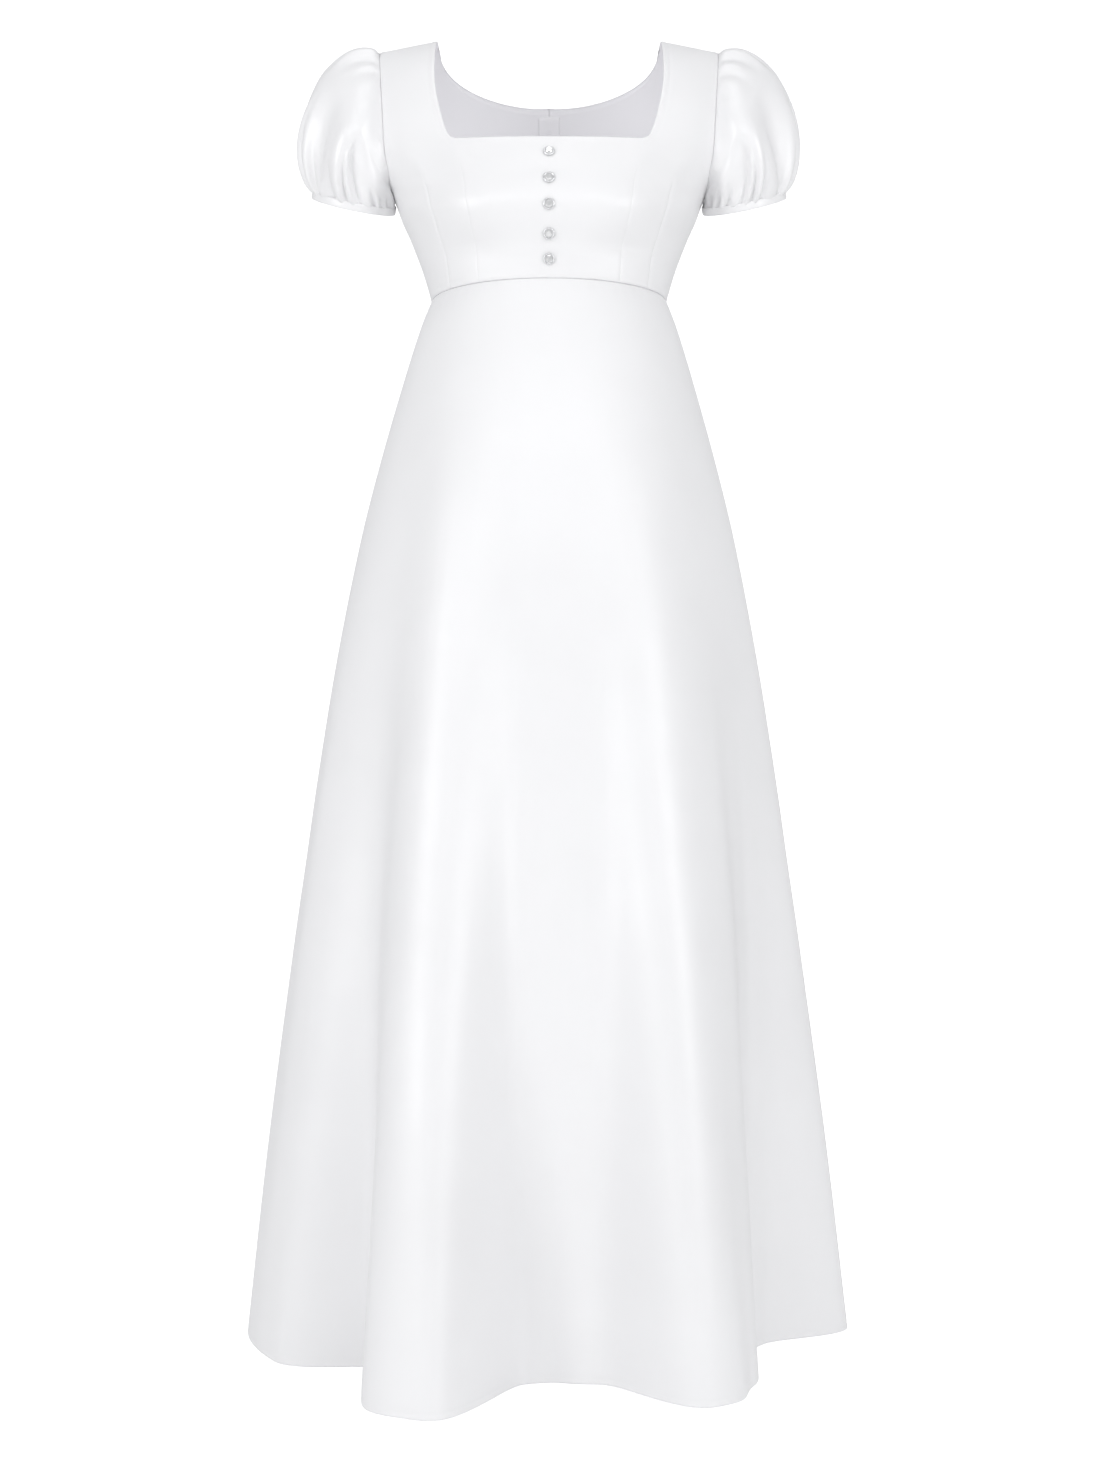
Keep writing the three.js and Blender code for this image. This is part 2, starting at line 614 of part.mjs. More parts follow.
// The zip's tapes as one strip inside the back seam: each row lies on the inner faces of the two
// panels, half the tape's width out to each side of the seam.
function zipTape(right, left, topRows) {
  const rowsOf = (wall, seam, beside) =>
    wall.inner.map((row, i) => {
      const [from, to, normal] = [row.at(seam), row.at(beside), wall.normals[i].at(seam)];
      const out = to.clone().sub(from).setLength(ZIP.tapeWidth / 2);
      const shift = normal.clone().multiplyScalar(-ZIP.clear);
      return [from.clone().add(shift), from.clone().add(out).add(shift)];
    });
  const rights = [...rowsOf(right.skirt, -1, -2).slice(0, -1), ...rowsOf(right.bodice, -1, -2)];
  const lefts = [...rowsOf(left.skirt, 0, 1).slice(0, -1), ...rowsOf(left.bodice, 0, 1)];
  const grid = rights
    .map(([seam, edge], i) => [edge, seam.lerp(lefts[i][0], 0.5), lefts[i][1]])
    .filter((row) => row[1].z > -ZIP.foot)
    .slice(0, -topRows);
  return clothWall(grid, ZIP.tapeThick).geometry;
}

const outline = (points) => new THREE.Shape(points.map(([x, y]) => new THREE.Vector2(x, y)));

function extrude(shapeOutline, depth) {
  return new THREE.ExtrudeGeometry(shapeOutline, { depth, bevelEnabled: false });
}

function solidOf(geometry) {
  const bare = new THREE.BufferGeometry();
  bare.setAttribute("position", geometry.getAttribute("position"));
  const merged = mergeVertices(bare);
  const mesh = new kernel.Mesh({
    numProp: 3,
    vertProperties: merged.getAttribute("position").array,
    triVerts: new Uint32Array(merged.index.array),
  });
  return new kernel.Manifold(mesh);
}

function geometryOf(solid) {
  const mesh = solid.getMesh();
  const corners = [...mesh.triVerts].flatMap((v) => [...mesh.vertProperties.slice(3 * v, 3 * v + 3)]);
  return shape(corners);
}

// The slider stands on the cloth with +Z out of it and +Y up the seam: a tapered plate, and an arch
// along the seam whose eye holds the pull's crossbar.
function sliderGeometry() {
  const { width, length, thick, archWidth, legs, top, wall } = SLIDER;
  const plate = extrude(
    outline([
      [-width / 2 + 1, 0],
      [width / 2 - 1, 0],
      [width / 2, length],
      [-width / 2, length],
    ]),
    thick,
  );
  const arch = outline([
    [legs[0], thick / 2],
    [legs[1], thick / 2],
    [legs[1], top - 1],
    [legs[1] - 1, top],
    [legs[0] + 1, top],
    [legs[0], top - 1],
  ]);
  arch.holes.push(
    outline([
      [legs[0] + wall, thick],
      [legs[0] + wall, top - wall],
      [legs[1] - wall, top - wall],
      [legs[1] - wall, thick],
    ]),
  );
  const along = extrude(arch, archWidth).translate(0, 0, -archWidth / 2);
  const [x, y, z] = [new THREE.Vector3(1, 0, 0), new THREE.Vector3(0, 1, 0), new THREE.Vector3(0, 0, 1)];
  along.applyMatrix4(new THREE.Matrix4().makeBasis(y, z, x));
  return geometryOf(solidOf(plate).add(solidOf(along)));
}

// The pull hangs from its crossbar, which lies on the X axis: a flat tab with a window for the arch.
function pullGeometry() {
  const { width, length, thick, frame, window, bar } = PULL;
  const tab = outline([
    [-width / 2, bar / 2],
    [-width / 2, -window - 2],
    [-width / 2 + 1.1, -length + 1.6],
    [-width / 2 + 2.2, -length],
    [width / 2 - 2.2, -length],
    [width / 2 - 1.1, -length + 1.6],
    [width / 2, -window - 2],
    [width / 2, bar / 2],
  ]);
  tab.holes.push(
    outline([
      [-width / 2 + frame, -bar / 2],
      [width / 2 - frame, -bar / 2],
      [width / 2 - frame, -window],
      [-width / 2 + frame, -window],
    ]),
  );
  return extrude(tab, thick).translate(0, 0, -thick / 2);
}

// Where the slider stands on the back seam: its matrix turns +Z outwards and +Y up the seam.
function sliderPlace(drop) {
  const at = bodicePoint(0, drop, "back");
  const up = bodicePoint(0, drop - 5, "back").sub(bodicePoint(0, drop + 5, "back")).normalize();
  const out = new THREE.Vector3(-1, 0, 0).cross(up).normalize();
  const place = new THREE.Matrix4().makeBasis(new THREE.Vector3(-1, 0, 0), up, out);
  return place.setPosition(at.addScaledVector(out, SEAM_GAP + SLIDER.stand));
}

const group = new THREE.Group();
group.name = "empire_gown";

function add(name, geometry, finish) {
  const mesh = new THREE.Mesh(geometry, new THREE.MeshStandardMaterial(finish));
  mesh.name = name;
  group.add(mesh);
  return mesh;
}

const front = bodiceFront();
const half = bodiceBackHalf();
const backRight = clothWall(half.grid, CLOTH, { normals: half.normals });
const backLeft = clothWall(mirrored(half.grid), CLOTH, { normals: mirrored(half.normals) });
add("bodice_front", front.geometry, SATIN);
add("bodice_back_right", backRight.geometry, SATIN);
add("bodice_back_left", backLeft.geometry, SATIN);

const skirt = skirtPanels();
add("skirt_front", skirt.front.geometry, SATIN);
add("skirt_back_right", skirt.backRight.geometry, SATIN);
add("skirt_back_left", skirt.backLeft.geometry, SATIN);

const puff = sleeve(front, backRight);
const flipRow = (row) => mirrored([row])[0];
const sleeveWall = (grid, innerFirstRow) => clothWall(grid, CLOTH, { around: true, innerFirstRow }).geometry;
add("sleeve_right", sleeveWall(puff.grid, puff.innerStart), SATIN);
add("sleeve_left", sleeveWall(mirrored(puff.grid), flipRow(puff.innerStart)), SATIN);
add("cuff_right", cuffGeometry(1), BAND_SATIN);
add("cuff_left", cuffGeometry(-1), BAND_SATIN);

BUTTONS.drops.forEach((drop, k) => {
  const button = add(`button_${k + 1}`, buttonGeometry(), CUT_GLASS);
  const normal = frontNormal(drop);
  button.quaternion.setFromUnitVectors(new THREE.Vector3(0, 0, 1), normal);
  button.position.copy(bodicePoint(0, drop, "front").addScaledVector(normal, SEAM_GAP));
});

const sides = [
  { skirt: skirt.backRight, bodice: backRight },
  { skirt: skirt.backLeft, bodice: backLeft },
];
add("zip_tape", zipTape(...sides, 2), ZIP_TAPE);
const place = sliderPlace(SLIDER.drop);
const slider = add("zip_slider", sliderGeometry(), ZIP_METAL);
const pull = add("zip_pull", pullGeometry(), ZIP_METAL);
slider.applyMatrix4(place);
pull.applyMatrix4(place.clone().multiply(new THREE.Matrix4().makeTranslation(0, PULL.up, PULL.out)));

export default group;
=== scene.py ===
"""A floor-length Empire-line gown in heavy white satin: its cloth, trimmings, stage and light.

Every length in the tables and functions is in millimetres, +Z up, with the front of the gown facing -Y.
"""
import math

import bpy
import numpy as np
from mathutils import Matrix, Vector


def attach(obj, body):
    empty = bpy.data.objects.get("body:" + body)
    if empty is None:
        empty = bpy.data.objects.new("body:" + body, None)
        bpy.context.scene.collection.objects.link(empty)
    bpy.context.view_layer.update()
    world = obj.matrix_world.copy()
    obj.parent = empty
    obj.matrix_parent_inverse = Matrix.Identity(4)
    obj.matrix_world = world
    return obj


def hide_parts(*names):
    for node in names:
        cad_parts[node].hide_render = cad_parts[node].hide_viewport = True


bl_info = {
    "name": "Satin Empire Gown",
    "version": (1, 0, 0),
    "blender": (4, 5, 0),
    "location": "3D View > Sidebar > Gown",
    "description": "Builds a satin Empire-line gown with puff sleeves, cut-glass buttons and a fluted skirt",
    "category": "Add Mesh",
}

MM = 0.001
BODY = "dress"

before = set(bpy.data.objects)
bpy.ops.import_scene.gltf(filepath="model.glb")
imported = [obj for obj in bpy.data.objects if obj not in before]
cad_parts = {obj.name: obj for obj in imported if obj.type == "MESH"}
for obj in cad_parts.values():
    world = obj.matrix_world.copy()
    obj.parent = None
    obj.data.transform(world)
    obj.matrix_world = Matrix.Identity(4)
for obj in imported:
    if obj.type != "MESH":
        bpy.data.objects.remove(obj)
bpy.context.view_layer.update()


# Driving dimensions.
WAIST_DROP = 281.0  # from the shoulder line down to the raised waist seam
WAIST_ARCH = 5.0  # rise of the waist seam at the middle of the front
UNDERARM_DROP = 168.0
FRONT_NECK_DROP = 126.0
BACK_NECK_DROP = 54.0
FLOOR_DROP = 1408.0
NECK_POINT_X = 122.0
NECK_POINT_Z = 4.6
SHOULDER_SLOPE = 0.175
SLOPE_FADE = 120.0
SHOULDER_ROUND = {-1: 110.0, 1: 95.0}  # front and back
FRONT, BACK = -1, 1

# Sections of the bodice's body, top to bottom: half width, depths and the superellipse's exponent.
BODICE = {
    "drop": (0, 37, 97, 124, 150, 168, 193, 211, 246, 281),
    "half": (210, 207, 201, 195, 181, 170, 160.6, 152.4, 139, 128.4),
    FRONT: (94, 98, 104, 111, 124, 132, 137, 136, 124, 116),
    BACK: (102, 108, 118, 119, 118, 115, 110, 107, 101, 98),
    "square": (2.4, 2.4, 2.45, 2.5, 2.5, 2.5, 2.5, 2.5, 2.35, 2.25),
}
# Share of the chest's half width at which the armhole edge lies.
ARMHOLE = {
    "drop": (0, 37, 97, 124, 141, 150, 160, 168),
    "share": (0.883, 0.882, 0.89, 0.908, 0.938, 0.956, 0.984, 1),
}
# Distance from the middle to the side edge of the square neck.
NECK = {
    "drop": (0, 34, 60, 83, 103, 115, 122.5, 126),
    "x": (122, 122.7, 121.8, 118, 113, 109, 105, 99),
}
# The darts: share of the half width at the waist seam and at the tip, and the drop of the tip.
INNER_DART = (0.58, 0.525, 150.0)
OUTER_DART = (0.82, 0.77, 160.0)
CUP = {"x": 78.0, "drop": 203.0, "rise": 9.0, "wide": 48.0, "high": 42.0}

# Sections of the skirt without its folds.
SKIRT = {
    "drop": (281, 310, 365, 453, 541, 673, 805, 893, 981, 1201, 1408),
    "half": (128.4, 140.2, 157.9, 183.7, 206.3, 233, 254.7, 267.3, 280, 308.6, 331),
    FRONT: (116, 124, 140, 161, 180, 205, 226, 239, 250, 272, 290),
    BACK: (98, 108, 128, 157, 182, 212, 236, 250, 262, 284, 300),
    "square": (2.25, 2.25, 2.2, 2.15, 2.1, 2.1, 2.05, 2.05, 2.05, 2, 2),
}
# Crests and hollows of the skirt's folds at the hem: angle from the middle of the front, how much
# further round the fold lies at the top, and reach from the gown's axis.
FOLDS = (
    (-180, 0, 236),
    (-150, 3, 338),
    (-120, 2, 250),
    (-90, 0, 331),
    (-64, -4, 316),
    (-48, -6, 236),
    (-28, -8, 358),
    (-17, -10, 360),
    (-8, -6, 217),
    (0, 0, 208),
    (14, 1, 223),
    (27, -4, 337),
    (34, -4, 335),
    (42, -4, 304),
    (62, 0, 226),
    (74, 2, 238),
    (90, 0, 331),
    (117, -2, 246),
    (146, -3, 346),
    (180, 0, 236),
)
FOLD_SOFTNESS = (9.5, 2.4)  # degrees over which the folds are rounded, at the waist and at the hem
FOLD_OPENING = 1.4

CUFF = {
    "centre": (214.5, 0.0, -170.5),
    "radius": 45.5,
    "rise_out": 0.215,
    "fall_front": 0.31,
    "height": 9.2,
    "thick": 2.8,
}
PUFF = {
    "top": ((54, 0, 31), (45, 0, 60)),
    "front": ((26, -36, 2), (14, -40, 40)),
    "under": ((4, 0, -3), (1, 0, 4)),
    "back": ((26, 34, 2), (14, 38, 36)),
}

# Folds of the puff sleeve, listed one by one: place round the sleeve from its top (0) by the front (0.25),
# width, start and end between armhole (0) and cuff (1), and height in millimetres.
SLEEVE_FOLDS = (
    (0.215, 0.030, 0.30, 1.02, 5.0),
    (0.135, 0.028, 0.36, 1.02, -8.0),
    (0.296, 0.027, 0.30, 0.98, -8.0),
    (0.072, 0.024, 0.40, 1.05, 4.5),
    (0.020, 0.022, 0.40, 1.00, -3.5),
    (0.030, 0.013, -0.20, 0.44, -4.0),
    (0.056, 0.011, -0.20, 0.38, 3.4),
    (0.083, 0.012, -0.20, 0.34, -3.4),
    (0.110, 0.011, -0.20, 0.26, 2.2),
    (0.965, 0.013, -0.20, 0.40, -3.6),
    (0.938, 0.012, -0.20, 0.36, 3.0),
    (0.908, 0.012, -0.20, 0.30, -2.6),
    (0.365, 0.026, 0.25, 1.00, 3.0),
    (0.430, 0.035, 0.30, 1.00, -2.0),
    (0.945, 0.026, 0.30, 1.05, 4.0),
    (0.880, 0.026, 0.30, 1.00, -7.0),
    (0.815, 0.030, 0.25, 1.05, 4.5),
    (0.750, 0.026, 0.28, 1.00, -6.5),
    (0.680, 0.030, 0.30, 1.00, 3.5),
    (0.610, 0.032, 0.30, 1.00, -2.5),
)

BUTTON_DROPS = (145, 175.5, 203.5, 234.5, 261.5)
BUTTON_RADIUS = 6.2
SEAM_GAP = 0.3
ZIP = {"foot": 560.0, "top": 60.0, "tape": 24.0, "inset": 1.5, "pitch": 1.5}
HEM_TURN = 30.0
HEM_FOLD = 5.5  # from the hem up to the dip of its stitches
SEAM_TURN = 0.03  # degrees left open on each side of a skirt seam
ROW_STEP = 2.3  # usual distance between the bodice front's rows
FLOOR_Z = -1.45  # metres
LENS = 55.78
CAMERA_PLACE = (0.0011, -2.5, -0.754)  # metres

# Soft pulls in the bodice's cloth: start and end, each as the distance from the middle and the
# height, then width and height of the ridge. The first table is made on both sides.
FRONT_PULLS = (
    ((160, -186), (118, -205), 7, 1.3),
    ((166, -172), (112, -172), 6, 0.9),
    ((158, -200), (122, -228), 6, -0.8),
    ((172, -120), (128, -152), 9, 0.9),
    ((146, -226), (112, -262), 5, 0.6),
    ((96, -132), (62, -176), 9, -0.6),
)
MIDDLE_PULLS = (((-70, -246), (12, -250), 6, 0.5), ((60, -258), (6, -252), 5, 0.4))
BACK_PULLS = (
    ((158, -184), (112, -214), 8, 1.1),
    ((150, -110), (96, -150), 12, 1.0),
    ((92, -240), (30, -250), 7, 0.8),
    ((100, -258), (26, -268), 5, -0.6),
    ((60, -96), (14, -150), 12, -0.7),
)
# Soft secondary folds of the skirt: angle, width in degrees, start and end down the skirt, height.
SOFT_FOLDS = (
    (-72, 5, 0.25, 1.0, 2.6),
    (-38, 5, 0.45, 1.0, -2.0),
    (-4, 6, 0.30, 0.95, 3.2),
    (6, 4, 0.35, 1.0, 2.6),
    (17, 4, 0.20, 0.8, -2.0),
    (50, 5, 0.30, 1.0, 2.4),
    (68, 4, 0.35, 1.0, -2.2),
    (104, 6, 0.25, 1.0, 3.0),
    (131, 7, 0.20, 1.0, -2.4),
    (160, 6, 0.20, 1.0, 3.0),
    (-168, 6, 0.25, 1.0, 2.6),
    (-134, 7, 0.20, 1.0, -2.6),
    (-106, 6, 0.30, 1.0, 2.8),
)
# The stage's soft lights: place, aim, size, and share of the key light's power.
LIGHTS = {
    "key_left": ((-2.3, -2.3, 0.0), (0, 0, -0.95), (1.0, 2.0), 1.0),
    "key_right": ((2.3, -2.4, 0.0), (0, 0, -0.95), (1.0, 2.0), 0.95),
    "front": ((0, -2.8, 1.1), (0, 0, -0.3), (1.6, 0.5), 0.34),
    "top": ((0, -0.9, 1.9), (0, 0, -0.2), (1.6, 0.6), 0.2),
}


def through(table, column, at):
    """A smooth curve through one column of a table: between two rows a cubic whose end slopes are
    those of the chords between the rows on either side."""
    keys = np.asarray(table["drop"], float)
    values = np.asarray(table[column], float)
    before = np.maximum(np.arange(len(keys)) - 1, 0)
    after = np.minimum(np.arange(len(keys)) + 1, len(keys) - 1)
    slope = (values[after] - values[before]) / (keys[after] - keys[before])
    at = np.asarray(at, float)
    i = np.clip(np.searchsorted(keys, at, side="right") - 1, 0, len(keys) - 2)
    span = keys[i + 1] - keys[i]
    t = np.clip((at - keys[i]) / span, 0, 1)
    bend = t * t * (3 - 2 * t)
    start = span * slope[i] * t * (1 - t) ** 2
    end = span * slope[i + 1] * t * t * (1 - t)
    return values[i] + (values[i + 1] - values[i]) * bend + start - end


def mix(a, b, t):
    """The value a share t of the way from a to b."""
    return a + (b - a) * t


def ease(t):
    """A smooth step from 0 to 1: three t squared less two t cubed, held outside."""
    t = np.clip(t, 0, 1)
    return t * t * (3 - 2 * t)


def bump(distance, width):
    """A bell of height 1: e to the minus square of distance over width."""
    return np.exp(-((distance / width) ** 2))


def unit(vectors):
    """Vectors divided by their lengths."""
    return vectors / np.maximum(np.linalg.norm(vectors, axis=-1, keepdims=True), 1e-12)


def waist_lift(share, drop):
    """How far the front rises near the waist seam: the arch's height, less with the square of the
    share of the half width and with the distance from the seam."""
    near = ease(1 - np.abs(drop - WAIST_DROP) / 90)
    return WAIST_ARCH * near * (1 - np.minimum(1, np.abs(share)) ** 2)


def bodice_point(share, drop, side):
    """Points of the bodice. The section at each drop is a superellipse: x is a share of its half
    width, and y is its depth times the root of one less that share's power. Near the shoulder line
    the depth closes like a quarter ellipse. Two bells add the cups."""
    share, drop = np.broadcast_arrays(np.asarray(share, float), np.asarray(drop, float))
    square = through(BODICE, "square", drop)
    x = share * through(BODICE, "half", drop)
    rounding = np.sqrt(1 - (1 - np.minimum(1, drop / SHOULDER_ROUND[side])) ** 2)
    across = (1 - np.minimum(1, np.abs(share)) ** square) ** (1 / square)
    y = through(BODICE, side, drop) * across * rounding
    lift = 0.0
    if side == FRONT:
        cup = bump(np.abs(x) - CUP["x"], CUP["wide"]) * bump(drop - CUP["drop"], CUP["high"])
        y = y + CUP["rise"] * cup * np.clip((WAIST_DROP - drop) / CUP["high"], 0, 1)
        lift = waist_lift(share, drop)
    shoulder = NECK_POINT_Z - SHOULDER_SLOPE * (np.abs(x) - NECK_POINT_X)
    z = shoulder * (1 - ease(drop / SLOPE_FADE)) - drop + lift
    return np.stack([x, side * y, z], axis=-1)


def arm_share(drop):
    """The share of the half width where the bodice ends sideways: all of it below the underarm."""
    return np.where(drop >= UNDERARM_DROP, 1.0, through(ARMHOLE, "share", drop))


def dart_share(dart, drop):
    """A dart's line: straight in shares from its foot at the waist seam to its tip."""
    foot, tip, tip_drop = dart
    return mix(foot, tip, np.clip((WAIST_DROP - drop) / (WAIST_DROP - tip_drop), 0, 1))


def shares_between(start, stop, fraction, square):
    """Shares in equal steps of a superellipse's angle, from one share to another."""
    first = np.arcsin(np.minimum(1, start) ** (square / 2))
    last = np.arcsin(np.minimum(1, stop) ** (square / 2))
    return np.sin(mix(first, last, fraction)) ** (2 / square)


def fold_reach(angle, share):
    """The folds' reach at the hem: a smooth step from each row of the table to the next, between
    angles that depend on the share of the way down."""
    angle = (angle + 180) % 360 - 180
    reach = np.zeros(np.broadcast(angle, share).shape)
    for before, after in zip(FOLDS[:-1], FOLDS[1:]):
        low = before[0] + before[1] * (1 - share)
        high = after[0] + after[1] * (1 - share)
        fold = mix(before[2], after[2], ease((angle - low) / (high - low)))
        reach = np.where((angle >= low) & (angle <= high), fold, reach)
    return reach


def skirt_reach(angle, drop):
    """Distance from the axis to the skirt: the plain superellipse, plus the folds, which open from
    nothing at the waist to their reach at the hem. Each value is a mean over nearby angles, so that
    the folds are broad and soft at the top and close to the table's shape at the hem."""
    turn = np.radians(angle)
    front = np.abs(angle) <= 90

    def plain(at):
        square = through(SKIRT, "square", at)
        depth = np.where(front, through(SKIRT, FRONT, at), through(SKIRT, BACK, at))
        across = np.abs(np.sin(turn) / through(SKIRT, "half", at)) ** square
        along = np.abs(np.cos(turn) / depth) ** square
        return (across + along) ** (-1 / square)

    share = (drop - WAIST_DROP) / (FLOOR_DROP - WAIST_DROP)
    steps = np.linspace(-2, 2, 9)
    weights = bump(steps, 1.2) / bump(steps, 1.2).sum()
    soft = mix(*FOLD_SOFTNESS, share)
    reach = sum(weight * fold_reach(angle + step * soft, share) for step, weight in zip(steps, weights))
    at_hem = plain(np.full_like(drop, FLOOR_DROP))
    return plain(drop) + (reach - at_hem) * np.maximum(0, share) ** FOLD_OPENING


def skirt_point(angle, drop):
    """Points of the skirt at an angle round the axis and a drop, at the reach given above."""
    angle, drop = np.broadcast_arrays(np.asarray(angle, float), np.asarray(drop, float))
    reach = skirt_reach(angle, drop)
    x = reach * np.sin(np.radians(angle))
    lift = np.where(np.abs(angle) < 90, waist_lift(x / SKIRT["half"][0], drop), 0)
    return np.stack([x, -reach * np.cos(np.radians(angle)), lift - drop], axis=-1)


def grid_normals(points, around=False):
    """Outward unit normals of a grid whose rows rise and whose columns run left to right as seen
    from outside: the cross product of the two central differences."""
    if around:
        across = np.roll(points, -1, axis=1) - np.roll(points, 1, axis=1)
    else:
        across = np.gradient(points, axis=1)
    return unit(np.cross(across, np.gradient(points, axis=0)))


def arc_lengths(points, axis):
    """Lengths run along a grid's lines: the running sum of the distances between neighbours."""
    steps = np.linalg.norm(np.diff(points, axis=axis), axis=-1)
    pad = [(1, 0), (0, 0)] if axis == 0 else [(0, 0), (1, 0)]
    return np.pad(np.cumsum(steps, axis=axis), pad)


def clustered(length, edge, step, grow=1.35):
    """Places from 0 to 1 along a length: close together at both ends, and even in the middle."""
    near = [0.0]
    width = edge
    while width < step and near[-1] < length / 3:
        near.append(near[-1] + width)
        width *= grow
    middle = np.linspace(near[-1], length - near[-1], max(2, int((length - 2 * near[-1]) / step) + 1))
    ends = np.array(near[:-1])
    return np.concatenate([ends, middle, length - ends[::-1]]) / length


def link(obj):
    """Puts an object in the scene."""
    bpy.context.scene.collection.objects.link(obj)
    return obj


def mirrored(points, side):
    """The grid itself on the right, or its mirror image, with its columns turned round, on the left."""
    return points if side > 0 else points[:, ::-1] * np.array([-1, 1, 1])


def cells(rows, columns):
    """The row and column numbers of a grid's cells, in row order."""
    i, j = np.meshgrid(np.arange(rows), np.arange(columns), indexing="ij")
    return i.ravel(), j.ravel()


def mesh_piece(name, points, faces, materials, uv=None):
    """A mesh object at the origin from points in millimetres and faces of equal size, with an
    optional UV for each corner of each face, in metres."""
    faces = np.asarray(faces)
    used, flat = np.unique(faces, return_inverse=True)
    faces = flat.reshape(faces.shape)
    corners = faces.shape[1]
    mesh = bpy.data.meshes.new(name)
    mesh.vertices.add(len(used))
    mesh.vertices.foreach_set("co", (points[used] * MM).astype(np.float32).ravel())
    mesh.loops.add(faces.size)
    mesh.loops.foreach_set("vertex_index", faces.ravel().astype(np.int32))
    mesh.polygons.add(len(faces))
    mesh.polygons.foreach_set("loop_start", np.arange(0, faces.size, corners, dtype=np.int32))
    mesh.polygons.foreach_set("use_smooth", np.full(len(faces), True))
    if uv is not None:
        layer = mesh.uv_layers.new(name="cloth")
        layer.data.foreach_set("uv", (uv * MM).astype(np.float32).ravel())
    mesh.update(calc_edges=True)
    mesh.validate()
    for material in materials:
        mesh.materials.append(material)
    return link(bpy.data.objects.new(name, mesh))


def grid_faces(rows, columns, around=False, keep=None):
    """Quads of a grid of points in row order, counter-clockwise as seen from outside, and the row
    and column of each of their corners. A mask can leave cells out."""
    i, j = cells(rows - 1, columns if around else columns - 1)
    if keep is not None:
        i, j = i[keep.ravel()], j[keep.ravel()]
    right = (j + 1) % columns
    low, high = i * columns, (i + 1) * columns
    quads = np.stack([low + j, low + right, high + right, high + j], 1)
    places = np.stack([np.stack([i, i, i + 1, i + 1], 1), np.stack([j, j + 1, j + 1, j], 1)], -1)
    return quads, places


def cloth_piece(name, points, materials, thick, around=False, keep=None):
    """A cloth shell from a grid of outer points. Its UV follows the cloth in metres, along the
    columns and rows, and Solidify gives it its thickness inwards."""
    rows, columns = points.shape[:2]
    quads, places = grid_faces(rows, columns, around, keep)
    closed = np.concatenate([points, points[:, :1]], axis=1) if around else points
    u = arc_lengths(closed, 1)
    v = arc_lengths(closed, 0)
    u = u - u[:, closed.shape[1] // 2][:, None]
    v = np.broadcast_to(v.mean(axis=1, keepdims=True), v.shape) if around else v
    uv = np.stack([u, v], axis=-1)[places[..., 0], places[..., 1]]
    piece = mesh_piece(name, points.reshape(-1, 3), quads, materials, uv)
    shell = piece.modifiers.new("thickness", "SOLIDIFY")
    shell.thickness = thick * MM
    shell.offset = -1
    shell.use_even_offset = False
    shell.material_offset = 1
    shell.material_offset_rim = 0
    return piece


def wire_piece(name, path, out, up, profile, materials):
    """A wire: a closed profile carried along a path. At each place the profile's first number goes
    outwards and its second upwards. Both ends are capped with fans."""
    points = path[:, None] + out[:, None] * profile[None, :, :1] + up[:, None] * profile[None, :, 1:]
    count, corners = points.shape[:2]
    i, j = cells(count - 1, corners)
    next_j = (j + 1) % corners
    quads = np.stack([i, i + 1, i + 1, i], 1) * corners + np.stack([j, j, next_j, next_j], 1)
    middles = points[[0, -1]].mean(axis=1)
    ring = np.arange(corners)
    after = (ring + 1) % corners
    total = count * corners
    start = np.stack([np.full(corners, total), after, ring], 1)
    end = np.stack([np.full(corners, total + 1), ring + total - corners, after + total - corners], 1)
    faces = quads.tolist() + start.tolist() + end.tolist()
    return loose_piece(name, np.concatenate([points.reshape(-1, 3), middles]), faces, materials)


def rounded_profile(wide, high, corner_steps):
    """A rounded closed outline, counter-clockwise: the cosine and the sine, each to the power 0.67."""
    turn = np.linspace(0, 2 * np.pi, 4 * corner_steps, endpoint=False)
    pairs = ((wide, np.cos(turn)), (high, np.sin(turn)))
    return np.stack([size / 2 * np.sign(a) * np.abs(a) ** 0.67 for size, a in pairs], 1)


def soft_ridge(x, z, start, end, width, height):
    """A long soft ridge or trough in the x-z plane: a bell across the line from start to end, with
    its height rising and falling as a sine along that line."""
    (x0, z0), (x1, z1) = start, end
    length = math.hypot(x1 - x0, z1 - z0)
    along = ((x - x0) * (x1 - x0) + (z - z0) * (z1 - z0)) / length
    across = ((x - x0) * (z1 - z0) - (z - z0) * (x1 - x0)) / length
    share = np.clip(along / length, 0, 1)
    return height * np.sin(np.pi * share) * bump(across, width)


def seam_groove(distance, depth, width):
    """The dip that a seam's stitches pull into the cloth beside it."""
    return -depth * bump(distance, width)


def seam_beside(distance, depth, width, swelling, at=4):
    """A seam's dip, and the soft swelling of its allowance a few millimetres away."""
    return seam_groove(distance, depth, width) + swelling * bump(distance - at, 2.5)


def turned_edge(distance):
    """A neck edge turned over its facing: the last half millimetre rolls in, the turned part stands
    a little higher, and a faint dip marks where it ends."""
    stand = 0.3 * ease(1 - (distance - 4.6) / 1.6)
    return stand - 0.25 * bump(distance - 6.6, 1.0) - 0.6 * bump(distance, 0.7)


def dart_crease(share, drop, dart, strength):
    """A dart: a narrow crease on its line, a soft swelling on both sides, and a small pucker where
    it runs out at the tip."""
    distance = (np.abs(share) - dart_share(dart, drop)) * through(BODICE, "half", drop)
    reach = ease((drop - dart[2]) / 26)
    crease = -0.6 * bump(distance, 0.9) + 0.12 * bump(np.abs(distance) - 4.5, 3.2)
    tip = 0.8 * bump(distance, 9) * bump(drop - dart[2] - 2, 12)
    return strength * (crease * reach + tip)


